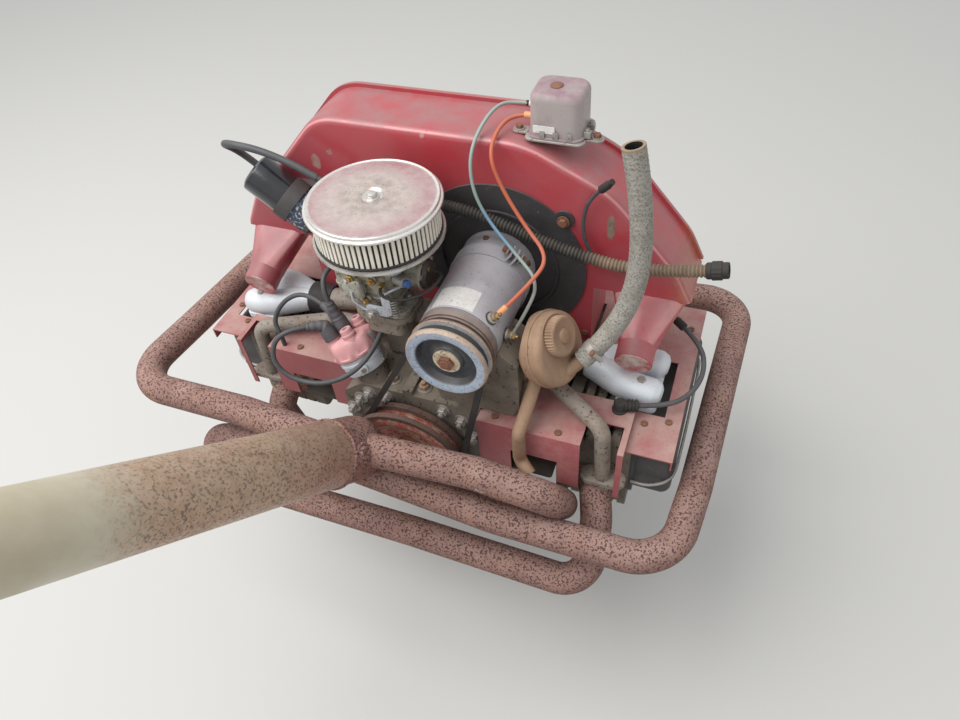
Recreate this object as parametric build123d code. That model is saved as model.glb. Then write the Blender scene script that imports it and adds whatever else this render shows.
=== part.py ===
from build123d import *
import os
from math import asin, atan2, cos, hypot, radians, sin, tan

# Air-cooled flat-four car engine with its blower housing, dynamo, carburettor and exhaust header.
# Millimetres. X points right seen from the pulley end, Y forward to the gearbox, Z up.
# The origin is the crankshaft's axis at the gearbox flange.

# Clearances
FIT = 0.05              # radial running fit of the two shafts
SEAT = 0.3              # between curved or bent pieces that touch
RUN = 6.0               # between a turning piece and what stands still
AIR = 3.0               # between pieces that only pass each other
BEYOND = 1.0            # how far a cutting tool reaches past the face it opens
FAR = 2000.0            # half size of a block that cuts everything on one side

# Crankcase
CASE_LENGTH = 370.0
CASE_HALF_WIDTH = 104.0
CASE_TOP = 98.0
CASE_BOTTOM = -92.0
CASE_SHOULDER_X = 72.0
CASE_SHOULDER_DROP = 26.0
CASE_KEEL_X = 76.0
CASE_KEEL_RISE = 26.0
CASE_FILLET = 9.0
SEAM_HALF_WIDTH = 7.0
SEAM_HEIGHT = 8.0
RIB_COUNT = 4
RIB_PITCH = 17.0
RIB_THICKNESS = 4.0
RIB_DEPTH = 10.0
BELL_RADIUS = 166.0
BELL_WALL = 20.0
BELL_THICKNESS = 34.0
BELL_BORE = BELL_RADIUS - BELL_WALL
BOLT_CIRCLE = BELL_RADIUS - 10.4
BOLT_ANGLE = 37.16
BOLT_HOLE = 10.5
SUMP_RADIUS = 74.0
SUMP_DROP = 18.0
SUMP_Y = -196.0
SUMP_PLATE_RADIUS = 64.0
SUMP_PLATE_THICKNESS = 5.0

# Crankshaft, flywheel and pulleys
SHAFT_RADIUS = 25.0
SHAFT_NUT_REACH = 6.0
CRANK_PULLEY_RADIUS = 85.5
CRANK_PULLEY_WIDTH = 27.0
CRANK_PULLEY_DISH = 15.0
BELT_Y = -(CASE_LENGTH + CRANK_PULLEY_WIDTH / 2 + RUN + 1.5)
BELT_WIDTH = 9.5
BELT_DEPTH = 8.0
BELT_PLAY = 1.6
GROOVE_DEPTH = BELT_DEPTH + 4.0
FLYWHEEL_RADIUS = BELL_BORE - RUN - 4.0
FLYWHEEL_THICKNESS = 24.0
FLYWHEEL_FRONT = 4.0
RING_TEETH = 110
TOOTH_HEIGHT = 4.0
CLUTCH_RADIUS = FLYWHEEL_RADIUS - 24.0
CLUTCH_HEIGHT = 38.0
CLUTCH_FINGERS = 12
CLUTCH_EYE = 32.0

# Cylinders, heads and covers
HEAD_LENGTH = 272.0
BANK_OFFSET = 38.0
LEFT_BANK_Y = -(BELL_THICKNESS + BEYOND + HEAD_LENGTH / 2)
BORE_SPACING = 112.0
BARREL_RADIUS = 47.0
FIN_RADIUS = 54.5
FIN_THICKNESS = 3.0
FIN_COUNT = 8
BARREL_LENGTH = 102.0
HEAD_IN = CASE_HALF_WIDTH + BARREL_LENGTH
HEAD_WIDTH = 102.0
HEAD_OUT = HEAD_IN + HEAD_WIDTH
HEAD_TOP = 74.0
HEAD_BOTTOM = -82.0
HEAD_CORNER = 14.0
HEAD_SLOTS = 5
SLOT_WIDTH = 6.0
SLOT_DEPTH = 16.0
COVER_DEPTH = 58.0
COVER_LENGTH = HEAD_LENGTH - 24.0
COVER_HEIGHT = 104.0
COVER_CORNER = 24.0
COVER_RIM = 6.0
PUSHROD_RADIUS = 10.0
PUSHROD_SPREAD = 26.0
PUSHROD_Z = -68.0

# Blower housing, its rear face and front face along Y
SHROUD_REAR = -205.0
SHROUD_FRONT = -115.0
SHROUD_WALL = 3.0
SHROUD_EDGE = 9.0
SHROUD_TOP = 405.0
SHROUD_BOTTOM = CASE_TOP + 2.0
SHROUD_LEFT = -322.0
SHROUD_RIGHT = 342.0
SHROUD_FOOT_X = 215.0
SHROUD_ARM_Z = 205.0
ARM_LEFT_IN = -224.0
ARM_RIGHT_IN = 234.0
# X, Z and corner radius of the housing's upper outline, from the left arm over the top to the right arm
ARCH = [
    (SHROUD_LEFT, SHROUD_ARM_Z + 12, 60), (SHROUD_LEFT + 24, SHROUD_TOP - 145, 60),
    (SHROUD_LEFT + 162, SHROUD_TOP, 70), (SHROUD_RIGHT - 220, SHROUD_TOP, 120),
    (SHROUD_RIGHT - 113, SHROUD_TOP - 51, 150), (SHROUD_RIGHT - 24, SHROUD_TOP - 153, 90),
]
LIP_HEIGHT = 5.0
LIP_WIDTH = 6.0
OUTLET_X = 286.0
OUTLET_Y = -268.0
OUTLET_Z = 145.0
OUTLET_RADIUS = 25.0
OUTLET_DROP = 18.0
OUTLET_STUB = 24.0
FAN_RADIUS = 78.0
FAN_WIDTH = 62.0
FAN_BLADES = 18
FAN_HUB = 22.0
FAN_EYE = 50.0
FAN_SHEET = 4.0
FAN_HOLE = FAN_RADIUS + 22.0
INTAKE_HOLE = FAN_RADIUS - 6.0
FAN_REAR = SHROUD_REAR + 14.0
PLATE_RADIUS = FAN_HOLE + 21.0
PLATE_THICKNESS = 3.0
PLATE_EAR_ANGLE = 43.7
PLATE_EAR_RADIUS = 13.0

# Dynamo
DYNAMO_X = 84.0
DYNAMO_Z = 223.0
DYNAMO_RADIUS = 51.5
DYNAMO_SHAFT_RADIUS = 8.5
DYNAMO_PULLEY_RADIUS = 53.0
DYNAMO_PULLEY_WIDTH = 26.0
DYNAMO_PULLEY_DISH = 12.0
DYNAMO_REAR = BELT_Y + DYNAMO_PULLEY_WIDTH / 2 + RUN - 2.0
DYNAMO_FRONT = SHROUD_REAR - PLATE_THICKNESS
END_RING = 13.0
END_GROOVE = 2.5
STRAP_Y = -248.0
STRAP_WIDTH = 20.0
STRAP_WALL = 2.0
STRAP_LUG_ANGLE = 55.0
STAND_REAR = DYNAMO_REAR + 12.0
STAND_LENGTH = 66.0
STAND_LEFT = DYNAMO_X - 36.0
STAND_RIGHT = DYNAMO_X + 76.0
STAND_WAIST = 10.0
TERMINAL_RADIUS = 5.0
TERMINAL_HEIGHT = 16.0

# Carburettor, air cleaner and manifold
CARB_X = -38.0
CARB_Y = -306.0
CARB_BASE_Z = 206.0
CARB_DECK = 82.0
# Slabs of the carburettor: X and Y from its middle, length, width, corner radius, low and high above its foot
CARB_SLABS = [
    (0, 0, 78, 58, 16, 0, 9), (-4, 0, 70, 58, 12, 24, CARB_DECK), (-38, 2, 38, 62, 10, 32, CARB_DECK),
    (-8, 0, 104, 74, 16, CARB_DECK, CARB_DECK + 10), (0, -44, 10, 4, 1, 14, 52),
]
# Round bars of the carburettor, ends measured in the same way: start, end, radius
CARB_BARS = [
    ((0, 0, 0), (0, 0, 32), 24), ((20, 6, 58), (58, 6, 58), 19), ((58, 6, 58), (66, 6, 58), 22),
    ((-24, -24, 50), (-24, -40, 50), 16), ((0, -42, 18), (0, 40, 18), 4),
]
AIR_HORN_RADIUS = 30.0
CLEANER_X = -26.0
CLEANER_Y = -312.0
CLEANER_TOP = 383.0
CLEANER_RADIUS = 82.5
CLEANER_HEIGHT = 61.0
CLEANER_BASE_Z = CLEANER_TOP - CLEANER_HEIGHT
ELEMENT_RADIUS = 76.0
PLEAT_COUNT = 72
PLEAT_DEPTH = 4.0
LID_HEIGHT = 11.0
BASE_HEIGHT = 10.0
MANIFOLD_Z = 176.0
MANIFOLD_FOOT = 8.0
RUNNER_RADIUS = 17.0
CASTING_Z = 104.0
CASTING_IN = HEAD_IN + 22.0
LOBE_HALF_WIDTH = 48.0
LOBE_REACH = HEAD_WIDTH
LOBE_NOTCH = 14.0
LOBE_ROUND = 10.0
CASTING_OUT = CASTING_IN + LOBE_REACH
BOOT_LENGTH = 36.0
BOOT_RADIUS = 24.5
CASTING_GAP = 2.5
CASTING_OFFSET = 10.0
RISER_RADIUS = 11.0
RISER_X = 276.0
RISER_Z = 118.0
RISER_Y = STAND_REAR + STAND_LENGTH + RISER_RADIUS + RUN + BEYOND
RISER_GAP = 15.0
RISER_BEND_X = 150.0
RISER_HOLE_IN = 30.0
RISER_HOLE_OUT = 18.0

# Ignition
DISTRIBUTOR_X = -64.0
DISTRIBUTOR_Y = -346.0
DISTRIBUTOR_LEFT = 28.0
DISTRIBUTOR_FORWARD = 8.0
DISTRIBUTOR_RADIUS = 32.0
DISTRIBUTOR_SEAT = 10.0
BOWL_RISE = 14.0
CAP_RISE = 42.0
CAP_STEP = 14.0
TOWER_TOP = 84.0
BOOT_RISE = 14.0
BOOT_REACH = 24.0
CAP_RADIUS = 37.0
TOWER_CIRCLE = 21.0
TOWER_RADIUS = 9.0
COIL_RADIUS = 28.0
COIL_LENGTH = 122.0
COIL_X = -201.0
COIL_Z = 295.0
COIL_TILT = 39.0
COIL_HEAD = 12.0
COIL_CROWN = 8.0
CLAMP_HALF = 34.0
CLAMP_WIDTH = 20.0
COIL_Y = SHROUD_REAR - COIL_RADIUS - 6.0
REGULATOR_X = 156.0
REGULATOR_Y = -166.0
REGULATOR_LENGTH = 66.0
REGULATOR_WIDTH = 56.0
REGULATOR_HEIGHT = 58.0
REGULATOR_CORNER = 14.0
REGULATOR_CROWN = 9.0
REGULATOR_FOOT = 3.0
REGULATOR_FLANGE = 8.0
EAR_LENGTH = 26.0
EAR_WIDTH = 15.0
EAR_CORNER = 6.0
REGULATOR_BOSS = 7.0

# Oil filler
FILLER_X = 190.0
FILLER_Y = -319.0
FILLER_Z = 196.0
FILLER_AXIS = (0.88, -0.19, 0.43)
FILLER_RADIUS = 48.0
FILLER_DEPTH = 36.0
FILLER_ROUND = 9.0
FILLER_CAP_RADIUS = 26.0
FILLER_CAP_HEIGHT = 15.0
FILLER_CAP_RISE = 20.0
DRAIN_RADIUS = 9.0

# Tinware
TIN_TOP = 90.0
TIN_WALL = 2.0
TIN_IN = CASE_HALF_WIDTH
TIN_LIP = 42.0
TIN_OUT = HEAD_OUT - 6.0
LEDGE_OUT = TIN_OUT + 60.0
LEDGE_Z = HEAD_TOP + 4.0
LEDGE_LIP = 16.0
TIN_OVERHANG = 34.0
TIN_DROP = 96.0

# Exhaust header
TUBE_RADIUS = 22.2
PORT_X = 262.0
PORT_Z = -22.0
FLANGE_THICKNESS = 8.0
FLANGE_LENGTH = 76.0
FLANGE_HEIGHT = 48.0
STINGER_RADIUS = 44.5
STINGER_WALL = 2.0
STINGER_LENGTH = 560.0
STINGER_RISE = 39.0
STINGER_TURN = 15.0
COLLECTOR_REACH = 40.0
COLLECTOR = (-50.0, BELT_Y - 71.0, 72.0)

# Dynamo terminals: angle round the axis, place along Y
TERMINALS = [(39.5, DYNAMO_REAR + 28.0), (-3.0, DYNAMO_REAR + 41.0)]
WIRE_GRIP = 8.5
ORANGE_END, GREEN_END = [
    (DYNAMO_X + (DYNAMO_RADIUS + WIRE_GRIP) * cos(radians(turn)), y,
     DYNAMO_Z + (DYNAMO_RADIUS + WIRE_GRIP) * sin(radians(turn))) for turn, y in TERMINALS
]
ORANGE_START = (REGULATOR_X - REGULATOR_LENGTH / 2, REGULATOR_Y, 420)
GREEN_START = (REGULATOR_X - REGULATOR_LENGTH / 2, REGULATOR_Y + 20, 424)

# Towers of the distributor's cap: name, share of the tower circle, angle
TOWERS = [("middle", 0, 0), ("front_right", 1, 45), ("front_left", 1, 135), ("rear_left", 1, 225),
          ("rear_right", 1, 315)]

# Rubber boots on the distributor's towers: name of the tower, where its lead leaves
BOOT_BENDS = [("middle", (-0.35, 0.15, 0.9)), ("front_left", (-0.9, 0.35, 0.1)),
              ("rear_left", (-0.8, -0.55, 0.1))]

# The fuel hose's first two corner points, and its fitting's reach and radius
FUEL_START = (-150, -240, 338)
FUEL_KNEE = (-205, -240, 366)
FITTING_LENGTH = 22.0
FITTING_RADIUS = 4.2

# The breather hose's first two corner points, and how far its spigot reaches back into the drum
HOSE_START = (228.5, -317.5, 185.1)
HOSE_KNEE = (272, -284, 225)
SPIGOT_LENGTH = 34.0

# The drain pipe's corner points, from the drum down behind the rear tin, and their bend radii
DRAIN = [(176, -332, 158), (172, -362, 128), (168, -392, 104), (168, -392, 48), (186, -404, 36)]
DRAIN_BENDS = [14, 12, 16]

# The loom's socket on the housing and its round plug, and the spark plug's connector on the right tin
LOOM_START = (-46, -217, 306)
LOOM_KNEE = (280, -233, 270)
LOOM_END = (352, -231, 287)
SOCKET_SIZE = 25.0
LOOM_PLUG_RADIUS = 11.0
LOOM_PLUG_LENGTH = 26.0
PLUG_START = (304, -300, 101)
PLUG_KNEE = (340, -290, 101)
PLUG_RADIUS = 8.5
PLUG_LENGTH = 24.0

# Cords: name, radius, corner points
CORDS = [
    ("breather_hose", 13.0, [HOSE_START, HOSE_KNEE, (284, -258, 345), (257, -250, 449)]),
    ("dynamo_wire_orange", 2.5, [ORANGE_START, (103, -166, 420), (88, -190, 416), (86, -224, 398),
                                 (102, -231, 360), (134, -242, 318), (170, -264, 296), (164, -296, 285),
                                 ORANGE_END]),
    ("dynamo_wire_green", 2.2, [GREEN_START, (101, -146, 424), (76, -166, 430), (62, -218, 404),
                                (64, -234, 360), (84, -242, 320), (130, -262, 286), (166, -290, 276),
                                (160, -318, 252), GREEN_END]),
    ("regulator_lead", 2.4, [(222, -222, 372), (206, -215, 352), (198, -214, 318), (204, -215, 280),
                             (228, -217, 254), (262, -203.5, 246)]),
    ("loom_conduit", 8.0, [LOOM_START, (-12, -217, 306), (36, -226, 317), (88, -224, 303), (130, -226, 291),
                           (205, -233, 278), LOOM_KNEE, LOOM_END]),
    ("plug_lead_right", 3.5, [PLUG_START, PLUG_KNEE, (366, -266, 106), (377, -230, 114), (366, -192, 126),
                              (336, -172, 134)]),
    ("plug_lead_rear", 3.5, [(-142.8, -361.6, 181.4), (-172.3, -381.9, 185.1), (-182, -404, 154),
                             (-160, -410, 126), (-112, -404, 118), (-64, -390, 142), (-43, -352, 164),
                             (-50, -300, 171)]),
    ("plug_lead_front", 3.5, [(-145.4, -310.1, 176.7), (-178.8, -297.1, 180.4), (-216, -304, 164),
                              (-234, -322, 134), (-222, -330, 112), (-222, -330, 92)]),
    ("coil_lead", 3.5, [(-118.6, -328.7, 205.6), (-124.7, -326.1, 221.3), (-130, -307.2, 238.3),
                        (-121, -262, 231), (-133.4, -239, 240.2), (-153.6, -239, 256.6)]),
    ("fuel_hose", 5.0, [FUEL_START, FUEL_KNEE, (-296, -240, 372), (-302, -190, 323.9), (-268, -190, 291.5)]),
    ("vacuum_hose", 2.0, [(-22, -335, 268), (-22, -357, 268), (12, -364, 270), (44, -350, 278),
                          (52, -318, 280), (44, -304, 276), (28, -304, 276)]),
]

os.makedirs("parts", exist_ok=True)


def save(shape, name):
    """Write one sub-part under its own name."""
    shape.label = name
    export_step(shape, f"parts/{name}.step")


def save_group(shapes, name):
    """Write like pieces that don't touch as one node."""
    save(Compound(children=[solid for shape in shapes for solid in shape.solids()]), name)


def turned(axis_x, axis_z, radius, y_rear, y_front, bore=0.0):
    """A disc or sleeve about a line along Y."""
    ring = Circle(radius) - Circle(bore) if bore else Circle(radius)
    plane = Plane(origin=(axis_x, y_rear, axis_z), x_dir=(1, 0, 0), z_dir=(0, 1, 0))
    return extrude(plane * ring, amount=y_front - y_rear)


def upright(x, y, radius, z_low, z_high):
    """A disc about a line along Z."""
    return Pos(x, y, z_low) * extrude(Circle(radius), amount=z_high - z_low)


def block(x_low, x_high, y_low, y_high, z_low, z_high):
    """A rectangular block from its six faces."""
    middle = ((x_low + x_high) / 2, (y_low + y_high) / 2, (z_low + z_high) / 2)
    return Pos(*middle) * Box(x_high - x_low, y_high - y_low, z_high - z_low)


def side_block(side, x_in, x_out, y_low, y_high, z_low, z_high):
    """A rectangular block on one side of the engine, from its distances to the middle plane."""
    low, high = sorted((side * x_in, side * x_out))
    return block(low, high, y_low, y_high, z_low, z_high)


def pad(x, y, length, width, corner, z_low, z_high):
    """A slab with round upright corners."""
    return Pos(x, y, z_low) * extrude(RectangleRounded(length, width, corner), amount=z_high - z_low)


def tube(points, bends, radius):
    """A bent bar or closed pipe: straight runs joined by tangent arcs."""
    path = FilletPolyline(*points, radius=bends)
    return sweep(Plane(origin=path @ 0, z_dir=path % 0) * Circle(radius), path=path)


def rod(start, end, radius, bore=0.0):
    """A straight round bar or pipe between two points."""
    line = Vector(*end) - Vector(*start)
    ring = Circle(radius) - Circle(bore) if bore else Circle(radius)
    return extrude(Plane(origin=start, z_dir=line) * ring, amount=line.length)


def biggest(shape):
    """The largest solid that a cut has left."""
    return shape.solids().sort_by(SortBy.VOLUME)[-1]


# The two banks: side, name, middle of the head along Y, intake casting along Y
BANKS = [
    (-1, "left", LEFT_BANK_Y, SHROUD_REAR - BOOT_RADIUS - CASTING_GAP),
    (1, "right", LEFT_BANK_Y - BANK_OFFSET, SHROUD_REAR - BOOT_RADIUS - CASTING_GAP - CASTING_OFFSET),
]


def case_outline():
    """The crankcase seen from the rear: sloped shoulders, upright flanks and a narrow keel."""
    right = [(CASE_SHOULDER_X, CASE_TOP), (CASE_HALF_WIDTH, CASE_TOP - CASE_SHOULDER_DROP),
             (CASE_HALF_WIDTH, CASE_BOTTOM + CASE_KEEL_RISE), (CASE_KEEL_X, CASE_BOTTOM)]
    left = [(-x, z) for x, z in reversed(right)]
    face = make_face(Polyline(*right, *left, close=True))
    return fillet(face.vertices(), CASE_FILLET)


def distributor_point(height):
    """A point on the distributor's leaning axis, at a height above the case."""
    left = sin(radians(DISTRIBUTOR_LEFT))
    forward = sin(radians(DISTRIBUTOR_FORWARD))
    up = (1 - left**2 - forward**2) ** 0.5
    return (DISTRIBUTOR_X - left * height, DISTRIBUTOR_Y + forward * height, CASE_TOP + up * height)


def make_crankcase():
    """Two case halves split on the vertical plane, with the round gearbox flange, ribs and sump."""
    rear = Plane(origin=(0, -CASE_LENGTH, 0), x_dir=(1, 0, 0), z_dir=(0, -1, 0))
    body = extrude(rear * case_outline(), amount=-(CASE_LENGTH - BELL_THICKNESS))
    body += upright(0, SUMP_Y, SUMP_RADIUS, CASE_BOTTOM - SUMP_DROP, CASE_BOTTOM + SUMP_DROP)
    seam = block(-SEAM_HALF_WIDTH, SEAM_HALF_WIDTH, -CASE_LENGTH, -BELL_THICKNESS, 0, CASE_TOP + SEAM_HEIGHT)
    seam -= block(-FAR, FAR, SHROUD_REAR - AIR, SHROUD_FRONT + AIR, CASE_TOP, FAR)
    body += seam
    for step in range(RIB_COUNT):
        for side in (-1, 1):
            x = side * (step + 0.5) * RIB_PITCH
            body += block(x - RIB_THICKNESS / 2, x + RIB_THICKNESS / 2, -CASE_LENGTH + CASE_KEEL_RISE,
                          -BELL_THICKNESS, CASE_BOTTOM - RIB_DEPTH, CASE_BOTTOM + RIB_DEPTH)
    body += block(STAND_LEFT - AIR, CASE_HALF_WIDTH, STAND_REAR, STAND_REAR + STAND_LENGTH, 0, CASE_TOP)
    body += rod(distributor_point(-CASE_SHOULDER_DROP), distributor_point(DISTRIBUTOR_SEAT),
                DISTRIBUTOR_RADIUS * 0.7)
    bell = turned(0, 0, BELL_RADIUS, -BELL_THICKNESS, 0)
    bell &= block(-BELL_RADIUS, BELL_RADIUS, -BELL_THICKNESS, 0, CASE_BOTTOM - SUMP_DROP, BELL_RADIUS)
    body += bell
    body -= turned(0, 0, BELL_BORE, FLYWHEEL_FRONT - FLYWHEEL_THICKNESS - RUN, BEYOND)
    body -= turned(0, 0, SHAFT_RADIUS + FIT, -CASE_LENGTH - BEYOND, BEYOND)
    for side_x in (-1, 1):
        for side_z in (-1, 1):
            x = side_x * BOLT_CIRCLE * cos(radians(BOLT_ANGLE))
            z = side_z * BOLT_CIRCLE * sin(radians(BOLT_ANGLE))
            body -= turned(x, z, BOLT_HOLE / 2, -BELL_THICKNESS - BEYOND, BEYOND)
    save(body & block(-FAR, 0, -FAR, FAR, -FAR, FAR), "crankcase_left")
    save(body & block(0, FAR, -FAR, FAR, -FAR, FAR), "crankcase_right")
    plate = upright(0, SUMP_Y, SUMP_PLATE_RADIUS, CASE_BOTTOM - SUMP_DROP - SUMP_PLATE_THICKNESS,
                    CASE_BOTTOM - SUMP_DROP)
    save(plate, "sump_plate")


def head_block(side, middle):
    """The outline block of one cylinder head."""
    return side_block(side, HEAD_IN, HEAD_OUT, middle - HEAD_LENGTH / 2, middle + HEAD_LENGTH / 2,
                      HEAD_BOTTOM, HEAD_TOP)


def make_bank(side, name, middle):
    """One bank: two finned cylinders, the slotted head and its cover. Gives back the pushrod tubes."""
    bores = (middle - BORE_SPACING / 2, middle + BORE_SPACING / 2)
    pitch = BARREL_LENGTH / (FIN_COUNT + 1)
    barrels = []
    for y in bores:
        barrel = rod((side * CASE_HALF_WIDTH, y, 0), (side * HEAD_IN, y, 0), BARREL_RADIUS)
        for fin in range(1, FIN_COUNT + 1):
            x = side * (CASE_HALF_WIDTH + fin * pitch)
            barrel += rod((x, y, 0), (x + side * FIN_THICKNESS, y, 0), FIN_RADIUS)
        barrels.append(barrel)
    save_group(barrels, f"cylinders_{name}")
    head = head_block(side, middle)
    head = fillet(head.edges().filter_by(Axis.X), HEAD_CORNER)
    slot_pitch = HEAD_WIDTH / (HEAD_SLOTS + 1)
    for step in range(1, HEAD_SLOTS + 1):
        x = HEAD_IN + step * slot_pitch
        for z_low, z_high in ((HEAD_BOTTOM, HEAD_BOTTOM + SLOT_DEPTH), (HEAD_TOP - SLOT_DEPTH, HEAD_TOP)):
            head -= side_block(side, x, x + SLOT_WIDTH, -FAR, FAR, z_low, z_high)
    save(head, f"head_{name}")
    half_length, half_height = COVER_LENGTH / 2, COVER_HEIGHT / 2
    cover = side_block(side, HEAD_OUT, HEAD_OUT + COVER_DEPTH, middle - half_length, middle + half_length,
                       -half_height, half_height)
    cover = fillet(cover.edges().filter_by(Axis.X), COVER_CORNER)
    outer = cover.faces().sort_by(Axis.X)[-1 if side > 0 else 0]
    cover = fillet(outer.edges(), COVER_CORNER * 0.6)
    rim = side_block(side, HEAD_OUT, HEAD_OUT + COVER_RIM, middle - half_length - COVER_RIM,
                     middle + half_length + COVER_RIM, -half_height - COVER_RIM, half_height + COVER_RIM)
    cover += fillet(rim.edges().filter_by(Axis.X), COVER_CORNER)
    save(cover, f"rocker_cover_{name}")
    pipes = []
    for y in bores:
        for step in (-PUSHROD_SPREAD / 2, PUSHROD_SPREAD / 2):
            pipes.append(rod((side * CASE_HALF_WIDTH, y + step, PUSHROD_Z),
                             (side * HEAD_IN, y + step, PUSHROD_Z), PUSHROD_RADIUS))
    return pipes


def grooved_pulley(axis_x, axis_z, radius, width, dish, bore):
    """A belt pulley turned from one profile: V groove in the rim, dished rear face."""
    half = width / 2
    groove = BELT_WIDTH / 2
    floor = radius - GROOVE_DEPTH
    profile = Polyline((bore, -half + dish), (radius * 0.45, -half + dish), (radius * 0.8, -half),
                       (radius, -half), (radius, -groove - 1), (floor, -groove + 1), (floor, groove - 1),
                       (radius, groove + 1), (radius, half), (bore, half), close=True)
    face = make_face(Plane(origin=(axis_x, BELT_Y, axis_z), x_dir=(1, 0, 0), z_dir=(0, 0, 1)) * profile)
    return revolve(face, axis=Axis((axis_x, BELT_Y, axis_z), (0, 1, 0)))


def make_crank_body():
    """The crankshaft with its grooved pulley, toothed flywheel and sprung clutch cover."""
    rear = BELT_Y - CRANK_PULLEY_WIDTH / 2
    shaft = turned(0, 0, SHAFT_RADIUS, rear - SHAFT_NUT_REACH, FLYWHEEL_FRONT - FLYWHEEL_THICKNESS)
    save(shaft, "crankshaft")
    save(grooved_pulley(0, 0, CRANK_PULLEY_RADIUS, CRANK_PULLEY_WIDTH, CRANK_PULLEY_DISH, SHAFT_RADIUS),
         "crank_pulley")
    rim = []
    for tooth in range(RING_TEETH):
        for share, reach in ((0.0, 0.0), (0.2, TOOTH_HEIGHT), (0.5, TOOTH_HEIGHT), (0.7, 0.0)):
            angle = radians(360 * (tooth + share) / RING_TEETH)
            rim.append(((FLYWHEEL_RADIUS + reach) * cos(angle), (FLYWHEEL_RADIUS + reach) * sin(angle)))
    back = Plane(origin=(0, FLYWHEEL_FRONT - FLYWHEEL_THICKNESS, 0), x_dir=(1, 0, 0), z_dir=(0, 1, 0))
    wheel = extrude(back * make_face(Polyline(*rim, close=True)), amount=FLYWHEEL_THICKNESS)
    save(wheel, "flywheel")
    cover = turned(0, 0, CLUTCH_RADIUS, FLYWHEEL_FRONT, FLYWHEEL_FRONT + CLUTCH_HEIGHT, CLUTCH_EYE)
    front = cover.faces().sort_by(Axis.Y)[-1]
    cover = chamfer(front.edges().sort_by(SortBy.RADIUS)[-1], CLUTCH_HEIGHT / 2)
    slot = block(CLUTCH_EYE - BEYOND, CLUTCH_RADIUS * 0.62, FLYWHEEL_FRONT + CLUTCH_HEIGHT / 2, FAR,
                 -FIN_THICKNESS / 2, FIN_THICKNESS / 2)
    for step in range(CLUTCH_FINGERS):
        cover -= Rot(0, step * 360 / CLUTCH_FINGERS, 0) * slot
    save(cover, "clutch_cover")


def belt_face(crank, dynamo):
    """The area inside a loop round both pulleys, as two discs and the quadrilateral of their tangents."""
    reach = hypot(DYNAMO_X, DYNAMO_Z)
    lean = atan2(DYNAMO_Z, DYNAMO_X)
    open_angle = asin((crank - dynamo) / reach)
    corners = []
    for side in (1, -1):
        angle = lean - side * (radians(90) - open_angle)
        corners.append([(cos(angle) * crank, sin(angle) * crank),
                        (DYNAMO_X + cos(angle) * dynamo, DYNAMO_Z + sin(angle) * dynamo)])
    outline = Polyline(corners[0][0], corners[0][1], corners[1][1], corners[1][0], close=True)
    return make_face(outline) + Circle(crank) + Pos(DYNAMO_X, DYNAMO_Z) * Circle(dynamo)


def make_belt():
    """The V belt as one loop: two arcs and their common tangents."""
    crank = CRANK_PULLEY_RADIUS - GROOVE_DEPTH + SEAT
    dynamo = DYNAMO_PULLEY_RADIUS - GROOVE_DEPTH + SEAT
    loop = belt_face(crank + BELT_DEPTH, dynamo + BELT_DEPTH) - belt_face(crank, dynamo)
    front = Plane(origin=(0, BELT_Y + BELT_WIDTH / 2 - BELT_PLAY, 0), x_dir=(1, 0, 0), z_dir=(0, -1, 0))
    save(extrude(front * loop, amount=BELT_WIDTH - 2 * BELT_PLAY), "v_belt")


def shroud_outline(inset=0.0):
    """The housing seen from the rear: flat top, sloping shoulders, two arms and the foot."""
    top = [(x, z) for x, z, corner in ARCH]
    low = [(SHROUD_RIGHT, SHROUD_ARM_Z), (SHROUD_FOOT_X, SHROUD_ARM_Z), (SHROUD_FOOT_X, SHROUD_BOTTOM),
           (-SHROUD_FOOT_X, SHROUD_BOTTOM), (-SHROUD_FOOT_X, SHROUD_ARM_Z), (SHROUD_LEFT, SHROUD_ARM_Z)]
    face = make_face(Polyline(*top, *low, close=True))
    for x, z, corner in ARCH[1:]:
        face = fillet(face.vertices().sort_by_distance((x, z, 0))[0], corner)
    return offset(face, -inset, kind=Kind.INTERSECTION) if inset else face


def shroud_arm(side, x_in, x_out, inset):
    """One heater duct: a loft from the arm's square mouth to the round outlet."""
    drop = radians(OUTLET_DROP)
    out = Vector(0, -cos(drop), -sin(drop))
    end = Vector(side * OUTLET_X, OUTLET_Y, OUTLET_Z) - out * OUTLET_STUB
    middle = (side * (x_in + x_out) / 2, (SHROUD_REAR + SHROUD_FRONT) / 2, SHROUD_ARM_Z + SHROUD_WALL)
    mouth = Plane(origin=middle, x_dir=(1, 0, 0), z_dir=(0, 0, -1))
    round_end = Plane(origin=end, x_dir=(1, 0, 0), z_dir=out)
    length = x_out - x_in - 2 * inset
    width = SHROUD_FRONT - SHROUD_REAR - 2 * inset
    return loft([mouth * RectangleRounded(length, width, OUTLET_RADIUS - inset),
                 round_end * Circle(OUTLET_RADIUS - inset)]), end, out


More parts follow.
